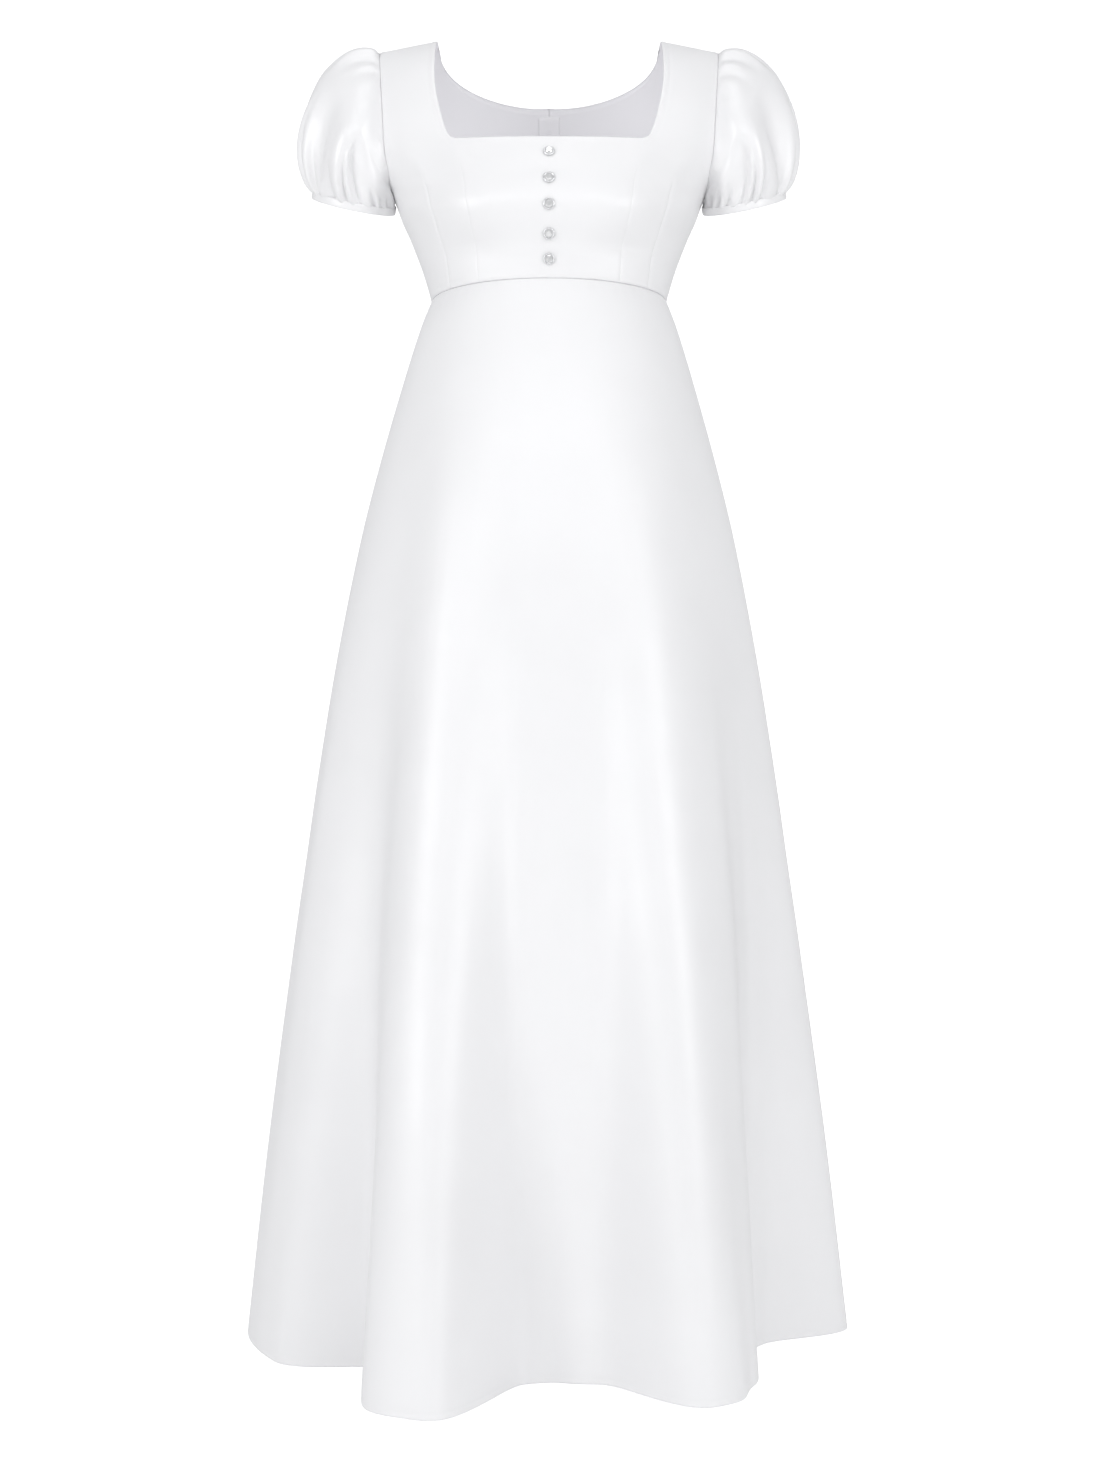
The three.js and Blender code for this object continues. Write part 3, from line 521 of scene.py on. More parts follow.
def bust_relief(x, drop):
    """The cloth's swelling over the bust and its hollow below: bells across and down the front."""
    cups = bump(np.abs(x) - 84, 38) + 0.4 * bump(x, 40)
    return cups * (1.4 * bump(drop - 205, 15) - 4.2 * bump(drop - 247, 17))


def bodice_front_points():
    """The front panel: rows rise from the waist seam, evenly up to the neck and by equal angles over
    the shoulder. Columns run in three stretches from the middle to the inner dart, to the outer dart
    and to the side, the darts' lines turning into the neck's side edge and the middle of the strap."""
    low = mix(WAIST_DROP, FRONT_NECK_DROP, clustered(155, 0.5, ROW_STEP))
    chest = 98.0
    corner = mix(FRONT_NECK_DROP, chest, clustered(28, 0.5, 2.0)[1:])
    top_angle = math.acos(1 - chest / SHOULDER_ROUND[FRONT])
    over = SHOULDER_ROUND[FRONT] * (1 - np.cos(top_angle * (1 - clustered(150, 0.5, 2.6)[1:])))
    drop = np.concatenate([low, corner, over])[:, None]
    square = through(BODICE, "square", drop)
    half = through(BODICE, "half", drop)
    neck = through(NECK, "x", np.minimum(drop, FRONT_NECK_DROP)) / half
    at_neck = np.clip((INNER_DART[2] - drop) / (INNER_DART[2] - FRONT_NECK_DROP), 0, 1)
    first = np.where(drop < FRONT_NECK_DROP, neck, mix(dart_share(INNER_DART, drop), neck, at_neck))
    edge = arm_share(drop)
    second = mix(dart_share(OUTER_DART, drop), mix(first, edge, 0.5), ease((OUTER_DART[2] - drop) / 40))
    stretches = [
        shares_between(0, first, np.arange(0, 0.81, 0.025)[None], square),
        shares_between(0, first, mix(0.825, 1, clustered(16, 0.5, 2.0))[None, :-1], square),
        shares_between(first, second, clustered(46, 0.5, 2.0)[None, :-1], square),
        shares_between(second, edge, clustered(48, 0.5, 2.0)[None, :], square),
    ]
    right = np.concatenate(stretches, axis=1)
    middle_columns = stretches[0].shape[1] + stretches[1].shape[1]
    share = np.concatenate([-right[:, :0:-1], right], axis=1)
    points = bodice_point(share, drop, FRONT)
    x, z = points[..., 0], points[..., 2]
    off = dart_crease(share, drop, INNER_DART, 0.5) + dart_crease(share, drop, OUTER_DART, 1)
    run = arc_lengths(points, 1)
    to_side = np.minimum(run, run[:, -1:] - run)
    off += seam_beside(WAIST_DROP - drop, 0.5, 1.1, 0.3)
    off += seam_beside(to_side, 0.4, 1.0, 0.2)
    rise = arc_lengths(points, 0)
    off += seam_groove(rise[-1:] - rise, 0.6, 1.6)
    beside = np.maximum(0, np.abs(x) - through(NECK, "x", np.minimum(drop, FRONT_NECK_DROP)))
    off += turned_edge(np.hypot(beside, np.maximum(0, drop - FRONT_NECK_DROP)))
    for side in (-1, 1):
        for pull in FRONT_PULLS:
            off += soft_ridge(side * x, z, *pull)
    off += bust_relief(x, drop)
    for pull in MIDDLE_PULLS:
        off += soft_ridge(x, z, *pull)
    points = points + grid_normals(points) * off[..., None]
    rows_kept = (drop[1:, 0] >= FRONT_NECK_DROP - 1e-6)[:, None]
    centre = share.shape[1] // 2
    column = np.arange(share.shape[1] - 1)
    in_strap = (column < centre - middle_columns) | (column >= centre + middle_columns)
    return points, rows_kept | in_strap[None, :]


def bodice_back_points(side):
    """One back panel, from the side seam to the middle. Columns run through the strap to the neck
    point and on to the middle, where the rows start below the scooped neck edge."""
    top_angle = math.acos(1 - 90 / SHOULDER_ROUND[BACK])
    low = mix(WAIST_DROP, 90, clustered(190, 0.5, 2.4))
    over = SHOULDER_ROUND[BACK] * (1 - np.cos(top_angle * (1 - clustered(140, 0.5, 2.8)[1:])))
    row = np.concatenate([low, over])[:, None]
    square = through(BODICE, "square", row)
    neck = NECK_POINT_X / BODICE["half"][0]
    strap = shares_between(arm_share(row), np.full_like(row, neck), clustered(86, 0.5, 2.6)[None, :], square)
    middle = shares_between(np.full_like(row, neck), 0, clustered(130, 0.5, 2.6)[None, 1:], square)
    neck_drop = BACK_NECK_DROP * np.sqrt(np.maximum(0, 1 - (middle / neck) ** 1.7))
    below_neck = neck_drop + row * (1 - neck_drop / WAIST_DROP)
    drop = np.concatenate([np.broadcast_to(row, strap.shape), below_neck], axis=1)
    share = np.concatenate([strap, middle], axis=1)
    points = bodice_point(share, drop, BACK)
    x, z = points[..., 0], points[..., 2]
    run = arc_lengths(points, 1)
    off = seam_beside(WAIST_DROP - drop, 0.5, 1.1, 0.3)
    off += seam_beside(run, 0.4, 1.0, 0.2)
    off += seam_beside(run[:, -1:] - run, 0.5, 1.2, 0.25, 4.5)
    rise = arc_lengths(points, 0)
    to_top = rise[-1:] - rise
    in_strap = (np.arange(x.shape[1]) < strap.shape[1])[None, :]
    off += np.where(in_strap, seam_groove(to_top, 0.6, 1.6), 0)
    off += turned_edge(np.where(in_strap, np.hypot(np.abs(x) - NECK_POINT_X, to_top), to_top))
    back_dart = np.abs(x) - mix(66, 78, np.clip((z + WAIST_DROP) / 120, 0, 1))
    dart_reach = ease((-z - 168) / 26)
    off += (-0.9 * bump(back_dart, 1.2) + 0.35 * bump(np.abs(back_dart) - 4.5, 3)) * dart_reach
    for pull in BACK_PULLS:
        off += soft_ridge(x, z, *pull)
    return mirrored(points + grid_normals(points) * off[..., None], side)


def hem_angles(start, stop, step):
    """Angles that cut the hem between two angles into nearly equal lengths, closer at both ends."""
    fine = np.linspace(start, stop, 1441)
    edge = skirt_point(fine[None, :], np.full((1, 1), FLOOR_DROP))
    run = arc_lengths(edge, 1)[0]
    places = clustered(run[-1], 0.7, step)
    return mix(np.interp(places * run[-1], run, fine), mix(start, stop, places), 0.25)


def skirt_creases(angle, drop):
    """What hand and needle add to the plain skirt: long soft secondary folds, tiny puckers below the
    waist seam, and the dips of the seams."""
    share = (drop - WAIST_DROP) / (FLOOR_DROP - WAIST_DROP)
    off = np.zeros(np.broadcast(angle, drop).shape)
    for centre, width, start, stop, height in SOFT_FOLDS:
        fall = ease((share - start) / 0.25) * (1 - 0.5 * ease((share - stop + 0.15) / 0.15))
        off = off + height * fall * bump(angle - centre, width)
    pucker = np.sin(np.radians(angle) * 37 + 1.7 * np.sin(np.radians(angle) * 5))
    pucker += 0.7 * np.sin(np.radians(angle) * 61 + 2.1 * np.sin(np.radians(angle) * 7 + 1))
    below = drop - WAIST_DROP
    off = off + 0.22 * pucker * np.exp(-below / 16) * ease(below / 5)
    off = off + seam_groove(below, 0.5, 1.1)
    hem = FLOOR_DROP - drop
    off = off - 0.45 * bump(hem - HEM_FOLD, 1.1) - 0.5 * bump(hem, 0.8)
    wave = np.sin(np.radians(angle) * 11 + 1.1) + 0.6 * np.sin(np.radians(angle) * 19 + share * 2.5)
    return off + 0.5 * wave * ease((share - 0.25) / 0.4)


def skirt_grid(start, stop, angle, drop):
    """Points of a part of the skirt and their outward normals. One more column on each side gives
    the normals at the seams."""
    wide = np.concatenate([[start - 1], angle, [stop + 1]])
    points = skirt_point((wide[None, :] + 180) % 360 - 180, drop)
    return points[:, 1:-1], grid_normals(points)[:, 1:-1]


def skirt_points(start, stop, step=5.5):
    """One skirt panel, as a grid of angles and drops, moved out along its normals by its creases."""
    start, stop = start + SEAM_TURN, stop - SEAM_TURN
    angle = hem_angles(start, stop, step)
    length = FLOOR_DROP - WAIST_DROP
    drop = mix(FLOOR_DROP, WAIST_DROP + SEAM_GAP / 2, clustered(length, 0.8, 2.2 * step, 1.3))[:, None]
    points, normals = skirt_grid(start, stop, angle, drop)
    off = skirt_creases(angle[None, :], drop)
    run = arc_lengths(points, 1)
    off = off + seam_groove(np.minimum(run, run[:, -1:] - run), 0.5, 1.2)
    return points + normals * off[..., None]


def armhole_loop(count):
    """The bodice's armhole edge on the right, cut into equal lengths: down the front from the
    shoulder point and up the back, with outward normals from two small steps on the bodice."""
    chains = []
    for side, order in ((FRONT, 1), (BACK, -1)):
        angle = np.linspace(0, 1, 400)
        drop = (UNDERARM_DROP * angle ** 1.6)[::order]
        share = arm_share(drop)
        point = bodice_point(share, drop, side)
        inwards = bodice_point(share - 0.02, drop, side) - point
        along = bodice_point(share, np.minimum(drop + 1.5, UNDERARM_DROP), side)
        along = along - bodice_point(share, np.maximum(drop - 1.5, 0), side)
        normal = unit(np.cross(inwards, along)) * (1 if side == FRONT else -1)
        run = arc_lengths(point[:, None], 0)[:, 0]
        at = np.linspace(0, run[-1], count // 2 + 1)[:-1]
        chains.append([np.stack([np.interp(at, run, a[:, k]) for k in range(3)], 1) for a in (point, normal)])
    return [np.concatenate([chain[k] for chain in chains]) for k in (0, 1)]


def cuff_frame():
    """The cuff ring's outward, forward and upward directions."""
    up = unit(np.array([-CUFF["rise_out"], -CUFF["fall_front"], 1.0]))
    out = unit(np.array([1.0, 0.0, CUFF["rise_out"]]))
    return out, unit(np.cross(out, up)), up


def cuff_ring(turn, radius, up_by):
    """Points of the cuff's ring: a circle about its centre, turn 0 at its outer end."""
    out, forwards, up = cuff_frame()
    angle = 2 * np.pi * np.asarray(turn)[..., None]
    radius, up_by = np.asarray(radius)[..., None], np.asarray(up_by)[..., None]
    return np.array(CUFF["centre"]) + radius * (np.cos(angle) * out + np.sin(angle) * forwards) + up_by * up


def lobes(phase, sharp=0.04):
    """Rounded lobes with creases between them: the root of the squared cosine of half the phase."""
    return 2 * np.sqrt(np.cos(phase / 2) ** 2 + sharp) - 1.15


def sleeve_points(side, rows=74, columns=192):
    """A puff sleeve. Each column is a cubic Bezier from the armhole edge to the cuff. Waves stand on
    it: uneven gathers above the cuff, folds fanning from the sleeve head, and a few soft dents."""
    edge, normal = armhole_loop(columns)
    turn = np.arange(columns) / columns
    c, s = np.cos(2 * np.pi * turn), np.sin(2 * np.pi * turn)
    weights = {"top": np.maximum(0, c) ** 2, "front": np.maximum(0, s) ** 2}
    weights |= {"under": np.maximum(0, -c) ** 2, "back": np.maximum(0, -s) ** 2}
    leave, arrive = (
        sum(weights[key][:, None] * np.array(PUFF[key][which], float) for key in PUFF) for which in (0, 1)
    )
    # Beside the underarm the cloth leaves the seam sideways rather than forwards.
    beside = bump(np.minimum(turn, 1 - turn) - 0.36, 0.075)
    leave = leave * (1 - beside[:, None] * np.array([-0.25, 0.65, 0]))
    start = edge - normal * 0.5 - np.array([0.5, 0, 0]) * np.maximum(0, 1 - np.abs(c))[:, None]
    finish = cuff_ring(turn, np.full(columns, CUFF["radius"] - 0.3), np.full(columns, CUFF["height"] / 2 - 2))
    v = np.arange(rows) / (rows - 1)
    v = mix(v, 0.5 - 0.5 * np.cos(np.pi * v), 0.45)[:, None]
    ends = [start, start + leave, finish + arrive, finish]
    ways = [(1 - v) ** 3, 3 * v * (1 - v) ** 2, 3 * v * v * (1 - v), v ** 3]
    points = sum(way[..., None] * end[None] for way, end in zip(ways, ends))
    # The cloth below the armhole hangs in towards the body.
    inwards = 4.0 * np.sin(np.pi * v) * bump(np.minimum(turn, 1 - turn) - 0.42, 0.08)[None, :]
    points = points - inwards[..., None] * np.array([1.0, 0, 0])
    # Rows run from the armhole to the cuff, so the grid's own normals point out of the sleeve.
    normals = grid_normals(points, around=True)
    swing = side * 0.6

    def wave(count, shift):
        return np.sin(2 * np.pi * count * turn + shift)

    phase = 2 * np.pi * 19 * turn + 1.6 * wave(3, swing) + 1.2 * wave(7, 1.9)
    reach = 0.17 + 0.12 * wave(5, 0.4 + swing) + 0.07 * wave(11, 2)
    near_cuff = ease((v - (1 - 0.14 - 1.5 * reach)) / (0.14 + 1.2 * reach))
    near_cuff = near_cuff * (1 - 0.45 * ease((v - 0.94) / 0.06))
    underarm = 1 - 0.6 * np.maximum(0, -c) ** 3
    off = 3.8 * lobes(phase, 0.02) * near_cuff * underarm
    for centre, width, start_at, stop_at, height in SLEEVE_FOLDS:
        away = (turn - centre + 0.5) % 1 - 0.5
        along = np.clip((v - start_at) / (stop_at - start_at), 0, 1)
        off = off + height * bump(away, width) * np.sin(np.pi * along) ** 1.2 * ease(v / 0.06)
    head = 2 * np.pi * 13 * turn + 1.1 * wave(4, 1 + swing)
    near_head = ease(v / 0.05) * ease((0.4 - v) / 0.34) * np.maximum(0, c) ** 1.5
    off = off + 3.4 * lobes(head) * near_head
    dent = np.cos(2 * np.pi * 2 * turn + 0.9) * 1.8 + np.cos(2 * np.pi * 3 * turn - 0.5 + swing) * 1.8
    off = off + dent * np.sin(np.pi * np.clip(v, 0, 1)) ** 2
    off = off + seam_groove(v * 90, 0.3, 2.0)
    return mirrored(points + normals * off[..., None], side)


def loose_piece(name, points, faces, materials, smooth=True):
    """A mesh object at the origin from points in millimetres and faces of any size."""
    mesh = bpy.data.meshes.new(name)
    mesh.from_pydata(np.asarray(points, float) * MM, [], faces)
    mesh.polygons.foreach_set("use_smooth", np.full(len(mesh.polygons), smooth))
    for material in materials:
        mesh.materials.append(material)
    mesh.update()
    return link(bpy.data.objects.new(name, mesh))


def front_frame(drop):
    """A place on the middle line of the front: the point, its outward normal and the way up."""
    up = unit(bodice_point(0, drop - 4, FRONT) - bodice_point(0, drop + 4, FRONT))
    out = unit(np.cross([1.0, 0, 0], up))
    return bodice_point(0, drop, FRONT) + out * bust_relief(0, drop), out, up


def turned_rings(base, out, up, rings, sides):
    """Points of rings stacked on an axis: for each ring a radius, a height and a share of one
    step by which it is turned."""
    across = np.cross(up, out)
    radius, height, turned = np.array(rings, float).T
    angle = 2 * np.pi * (np.arange(sides)[None, :] + turned[:, None]) / sides
    circle = np.cos(angle)[..., None] * across + np.sin(angle)[..., None] * up
    return base + radius[:, None, None] * circle + height[:, None, None] * out


def cut_glass(name, drop, radius, materials):
    """A round cut-glass stone: a closed girdle, two bands of triangular facets turned half a step
    against each other, and a flat table."""
    base, out, up = front_frame(drop)
    sides = 14
    rings = [(0.62, 1.0, 0), (0.78, 1.7, 0), (0.66, 2.9, 0.5), (0.44, 4.0, 0)]
    rings = [(share * radius, height + SEAM_GAP, turned) for share, height, turned in rings]
    points = turned_rings(base, out, up, rings, sides).reshape(-1, 3)
    faces = [list(range(sides - 1, -1, -1)), list(range(3 * sides, 4 * sides))]
    for level in range(3):
        for k in range(sides):
            a, b = level * sides + k, level * sides + (k + 1) % sides
            c, d = a + sides, b + sides
            if level == 0:
                faces.append([a, b, d, c])
            elif level == 1:
                faces += [[a, b, c], [b, d, c]]
            else:
                faces += [[a, b, d], [a, d, c]]
    return loose_piece(name, points, faces, materials, smooth=False)


def button_rim(name, drop, radius, materials):
    """The button's metal setting: a closed ring of rounded section with a beaded outer edge, made
    as a profile turned about the button's axis."""
    base, out, up = front_frame(drop)
    sides = 72
    section = [(0.4, 0.5), (0.74, 0.2), (0.9, 0.25), (1.0, 0.9)]
    section += [(0.99, 1.6), (0.91, 2.25), (0.8, 2.3), (0.72, 1.7)]
    rings = [(share * radius, height + SEAM_GAP, 0) for share, height in section]
    points = turned_rings(base, out, up, rings, sides)
    bead = 0.16 * np.cos(2 * np.pi * 18 * np.arange(sides) / sides)
    weight = np.array([0, 0, 0.2, 1, 1, 0.6, 0, 0])
    radial = unit(points[3] - points[3].mean(axis=0))
    points = points + (weight[:, None] * bead[None, :])[..., None] * radial[None]
    i, j = cells(len(section), sides)
    next_i, next_j = (i + 1) % len(section), (j + 1) % sides
    quads = np.stack([i * sides + j, i * sides + next_j, next_i * sides + next_j, next_i * sides + j], 1)
    return mesh_piece(name, points.reshape(-1, 3), quads, materials)


def cuff_piece(name, side, materials, columns=240):
    """A cuff: a rounded band carried round the cuff's ring, with shallow dents where the gathers
    are sewn in."""
    turn = np.arange(columns) / columns
    ring = 2 * np.pi * turn
    deep = CUFF["thick"] / 2
    tall = CUFF["height"] / 2
    section = rounded_profile(2 * deep, 2 * tall, 6)
    dent = 0.16 * np.sin(19 * ring + 1.6 * np.sin(3 * ring)) + 0.12 * np.sin(31 * ring + 1)
    radius = CUFF["radius"] + section[None, :, 0] + dent[:, None] * (section[None, :, 1] / tall)
    up_by = section[None, :, 1] + 0.25 * np.sin(2 * ring + 1)[:, None]
    points = cuff_ring(turn[:, None] + 0 * radius, radius, up_by + 0 * radius)
    # Seen from outside, turning runs left to right on the right arm, and the section runs upwards.
    points = points.transpose(1, 0, 2)
    closed = mirrored(np.concatenate([points, points[:1]], axis=0), side)
    rows = closed.shape[0]
    quads, places = grid_faces(rows, columns, around=True)
    wrapped = np.concatenate([closed, closed[:, :1]], axis=1)
    u = arc_lengths(wrapped, 1)
    v = np.broadcast_to(arc_lengths(wrapped, 0).mean(axis=1, keepdims=True), u.shape)
    quads = np.where(quads >= (rows - 1) * columns, quads - (rows - 1) * columns, quads)
    uv = np.stack([u, v], axis=-1)[places[..., 0], places[..., 1]]
    return mesh_piece(name, closed[:-1].reshape(-1, 3), quads, materials, uv)


def back_middle(x, drop):
    """Points near the back's middle line, on the outer side of the cloth: the skirt below the waist
    seam, at the angle whose arc is x, and the bodice above it."""
    x, drop = np.broadcast_arrays(np.asarray(x, float), np.asarray(drop, float))
    low = np.maximum(drop, WAIST_DROP)
    angle = 180 - np.degrees(x / skirt_reach(np.full_like(low, 180.0), low))
    skirt = skirt_point((angle + 180) % 360 - 180, low)
    high = np.minimum(drop, WAIST_DROP)
    bodice = bodice_point(x / through(BODICE, "half", high), high, BACK)
    return np.where((drop > WAIST_DROP)[..., None], skirt, bodice)


def zip_tape_points():
    """The zip's two tapes as one strip behind the middle seam, set in from the cloth."""
    drop = mix(ZIP["foot"], ZIP["top"], np.linspace(0, 1, 150))[:, None]
    x = np.linspace(ZIP["tape"] / 2, -ZIP["tape"] / 2, 17)[None, :]
    points = back_middle(x, drop)
    ribs = 0.12 * np.cos(2 * np.pi * x / 3.2)
    return points - grid_normals(points) * (ZIP["inset"] - ribs)[..., None]


def zip_coil(name, materials):
    """The zip's coil: a flattened helix along the middle of the tapes on their inner side, with a
    round wire carried along it."""
    turns = int((ZIP["foot"] - ZIP["top"] - 14) / ZIP["pitch"])
    per_turn = 10
    t = np.arange(turns * per_turn + 1) / per_turn
    drop = ZIP["foot"] - 4 - t * ZIP["pitch"]
    middle = back_middle(np.zeros_like(drop), drop)
    up = unit(np.gradient(middle, axis=0))
    out = unit(np.cross(np.array([-1.0, 0, 0]), up))
    swing = 2.3 * np.cos(2 * np.pi * t)
    stand = 0.75 * np.sin(2 * np.pi * t) - ZIP["inset"] - 1.6
    path = middle + swing[:, None] * np.array([-1.0, 0, 0]) + stand[:, None] * out
    along = unit(np.gradient(path, axis=0))
    first = unit(np.cross(along, up + 0.01))
    second = np.cross(along, first)
    return wire_piece(name, path, first, second, rounded_profile(0.7, 0.7, 2), materials)


def hem_turn_points(start, stop):
    """The hem's turning inside one skirt panel: from just inside the fold up to its top edge, a
    little in from the cloth, and slightly wavy where it is eased."""
    angle = hem_angles(start + 0.1, stop - 0.1, 7.0)
    drop = (FLOOR_DROP - 1.2 - np.linspace(0, HEM_TURN, 12))[:, None]
    points, normals = skirt_grid(start, stop, angle, drop)
    rise = FLOOR_DROP - drop
    inset = 1.9 + 0.5 * np.sin(np.radians(angle)[None, :] * 71) * ease(rise / HEM_TURN)
    off = skirt_creases(angle[None, :], drop) + 0.45 * bump(rise - HEM_FOLD, 1.1) + 0.5 * bump(rise, 0.8)
    return points + normals * (off - inset)[..., None]


def set_inputs(node, values):
    """Sets a node's inputs by name or number, to a value or from another node's output."""
    for name, value in values.items():
        if isinstance(value, bpy.types.NodeSocket):
            node.id_data.links.new(value, node.inputs[name])
        else:
            node.inputs[name].default_value = value
    return node


def node_of(tree, kind, values=None, **settings):
    """Adds a node with its settings and input values."""
    node = tree.nodes.new(kind)
    for name, value in settings.items():
        setattr(node, name, value)
    return set_inputs(node, values or {})


def group_tree(name, inputs, outputs):
    """An empty node group with named sockets, and its input and output nodes."""
    tree = bpy.data.node_groups.new(name, "ShaderNodeTree")
    for socket, kind, default in inputs:
        made = tree.interface.new_socket(socket, in_out="INPUT", socket_type=kind)
        if default is not None:
            made.default_value = default
    for socket, kind in outputs:
        tree.interface.new_socket(socket, in_out="OUTPUT", socket_type=kind)
    return tree, tree.nodes.new("NodeGroupInput"), tree.nodes.new("NodeGroupOutput")


def rescaled(tree, value, low, high, **more):
    """A value from 0 to 1, or from another range that is given, moved to a range from low to high."""
    values = {"Value": value, "To Min": low, "To Max": high, **more}
    return node_of(tree, "ShaderNodeMapRange", values).outputs[0]


def between(tree, factor, low, high):
    """The colour a share of the way between two others."""
    values = {"Factor": factor, 6: low, 7: high}
    return node_of(tree, "ShaderNodeMix", values, data_type="RGBA").outputs[2]


def weave_group():
    """Satin's surface from its UV in metres: long warp floats as noise drawn out along v, fine
    cross ribs, and soft unevenness at the scale of a few centimetres."""
    if "satin_surface" in bpy.data.node_groups:
        return bpy.data.node_groups["satin_surface"]
    tree, start, end = group_tree(
        "satin_surface",
        [
            ("Cloth", "NodeSocketVector", None),
            ("Place", "NodeSocketVector", None),
            ("Colour", "NodeSocketColor", (0.85, 0.85, 0.86, 1)),
            ("Shade", "NodeSocketColor", (0.8, 0.8, 0.82, 1)),
            ("Gloss low", "NodeSocketFloat", 0.34),
            ("Gloss high", "NodeSocketFloat", 0.46),
            ("Threads", "NodeSocketFloat", 1.0),
            ("Softness", "NodeSocketFloat", 1.0),
        ],
        [("Colour", "NodeSocketColor"), ("Roughness", "NodeSocketFloat"), ("Height", "NodeSocketFloat")],
    )
    given = start.outputs

    def noise(vector, scale, detail, **more):
        values = {"Vector": vector, "Scale": scale, "Detail": detail, **more}
        return node_of(tree, "ShaderNodeTexNoise", values).outputs[0]

    def maths(operation, *values):
        return node_of(tree, "ShaderNodeMath", dict(enumerate(values)), operation=operation).outputs[0]

    threads = node_of(tree, "ShaderNodeMapping", {"Vector": given["Cloth"], "Scale": (2600, 190, 1)})
    floats = noise(threads.outputs[0], 1.0, 2.0)
    wave = {"Vector": given["Cloth"], "Scale": 320.0, "Distortion": 0.6, "Detail": 1.0}
    ribs = node_of(tree, "ShaderNodeTexWave", wave, bands_direction="Y")
    soft = noise(given["Place"], 26.0, 3.0, Roughness=0.42)
    broad = noise(given["Place"], 7.0, 2.0)
    shade = rescaled(tree, broad, 0.0, 0.5, **{"From Min": 0.35, "From Max": 0.7})
    middle = {"From Min": 0.3, "From Max": 0.7}
    fine = maths("MULTIPLY_ADD", ribs.outputs["Fac"], 0.6, floats)
    thread_height = maths("MULTIPLY", fine, given["Threads"])
    soft_height = maths("MULTIPLY", soft, given["Softness"])
    set_inputs(end, {
        "Colour": between(tree, shade, given["Colour"], given["Shade"]),
        "Roughness": rescaled(tree, soft, given["Gloss low"], given["Gloss high"], **middle),
        "Height": maths("ADD", thread_height, soft_height),
    })
    return tree


def wear_and_glint_group():
    """Small variations of tone and gloss: noise moves the colour and the roughness between two values. On
    metal and enamel this is wear; on cut glass the dark and bright tones are painted reflections and glints
    of the facets.
    """
    if "surface_wear_and_glints" in bpy.data.node_groups:
        return bpy.data.node_groups["surface_wear_and_glints"]
    number = "NodeSocketFloat"
    tree, start, end = group_tree(
        "surface_wear_and_glints",
        [
            ("Place", "NodeSocketVector", None),
            ("Scale", number, 900.0),
            ("Detail", number, 3.0),
            ("Dark", "NodeSocketColor", (0.7, 0.7, 0.7, 1)),
            ("Bright", "NodeSocketColor", (0.9, 0.9, 0.9, 1)),
            ("Gloss low", number, 0.2),
            ("Gloss high", number, 0.4),
        ],
        [("Colour", "NodeSocketColor"), ("Roughness", number)],
    )
    given = start.outputs
    cloud = node_of(tree, "ShaderNodeTexNoise", {
        "Vector": given["Place"],
        "Scale": given["Scale"],
        "Detail": given["Detail"],
    }).outputs[0]
    set_inputs(end, {
        "Colour": between(tree, cloud, given["Dark"], given["Bright"]),
        "Roughness": rescaled(tree, cloud, given["Gloss low"], given["Gloss high"]),
    })
    return tree


def new_material(name, values):
    """A material, its nodes and its Principled BSDF, whose constants are set on its own sockets."""
    material = bpy.data.materials.new(name)
    material.use_nodes = True
    tree = material.node_tree
    shader = tree.nodes["Principled BSDF"]
    set_inputs(shader, values)
    return material, tree, shader


def cloth_material(name, colour, shade, gloss, threads, softness, values, tangent=True):
    """A woven finish: the satin surface group feeds colour, roughness and bump, and the highlight
    is drawn out across the warp."""
    _, tree, shader = new_material(name, values)
    uv = node_of(tree, "ShaderNodeUVMap", uv_map="cloth")
    place = node_of(tree, "ShaderNodeTexCoord")
    surface = node_of(tree, "ShaderNodeGroup", node_tree=weave_group())
    set_inputs(surface, {
        "Cloth": uv.outputs[0],
        "Place": place.outputs["Object"],
        "Colour": (*colour, 1),
        "Shade": (*shade, 1),
        "Gloss low": gloss[0],
        "Gloss high": gloss[1],
        "Threads": threads,
        "Softness": softness,
    })
    height = surface.outputs["Height"]
    relief = node_of(tree, "ShaderNodeBump", {"Strength": 1.0, "Distance": 0.001, "Height": height})
    set_inputs(shader, {
        "Base Color": surface.outputs["Colour"],
        "Roughness": surface.outputs["Roughness"],
        "Normal": relief.outputs[0],
    })
    if tangent:
        warp = node_of(tree, "ShaderNodeTangent", direction_type="UV_MAP", uv_map="cloth")
        set_inputs(shader, {"Tangent": warp.outputs[0]})


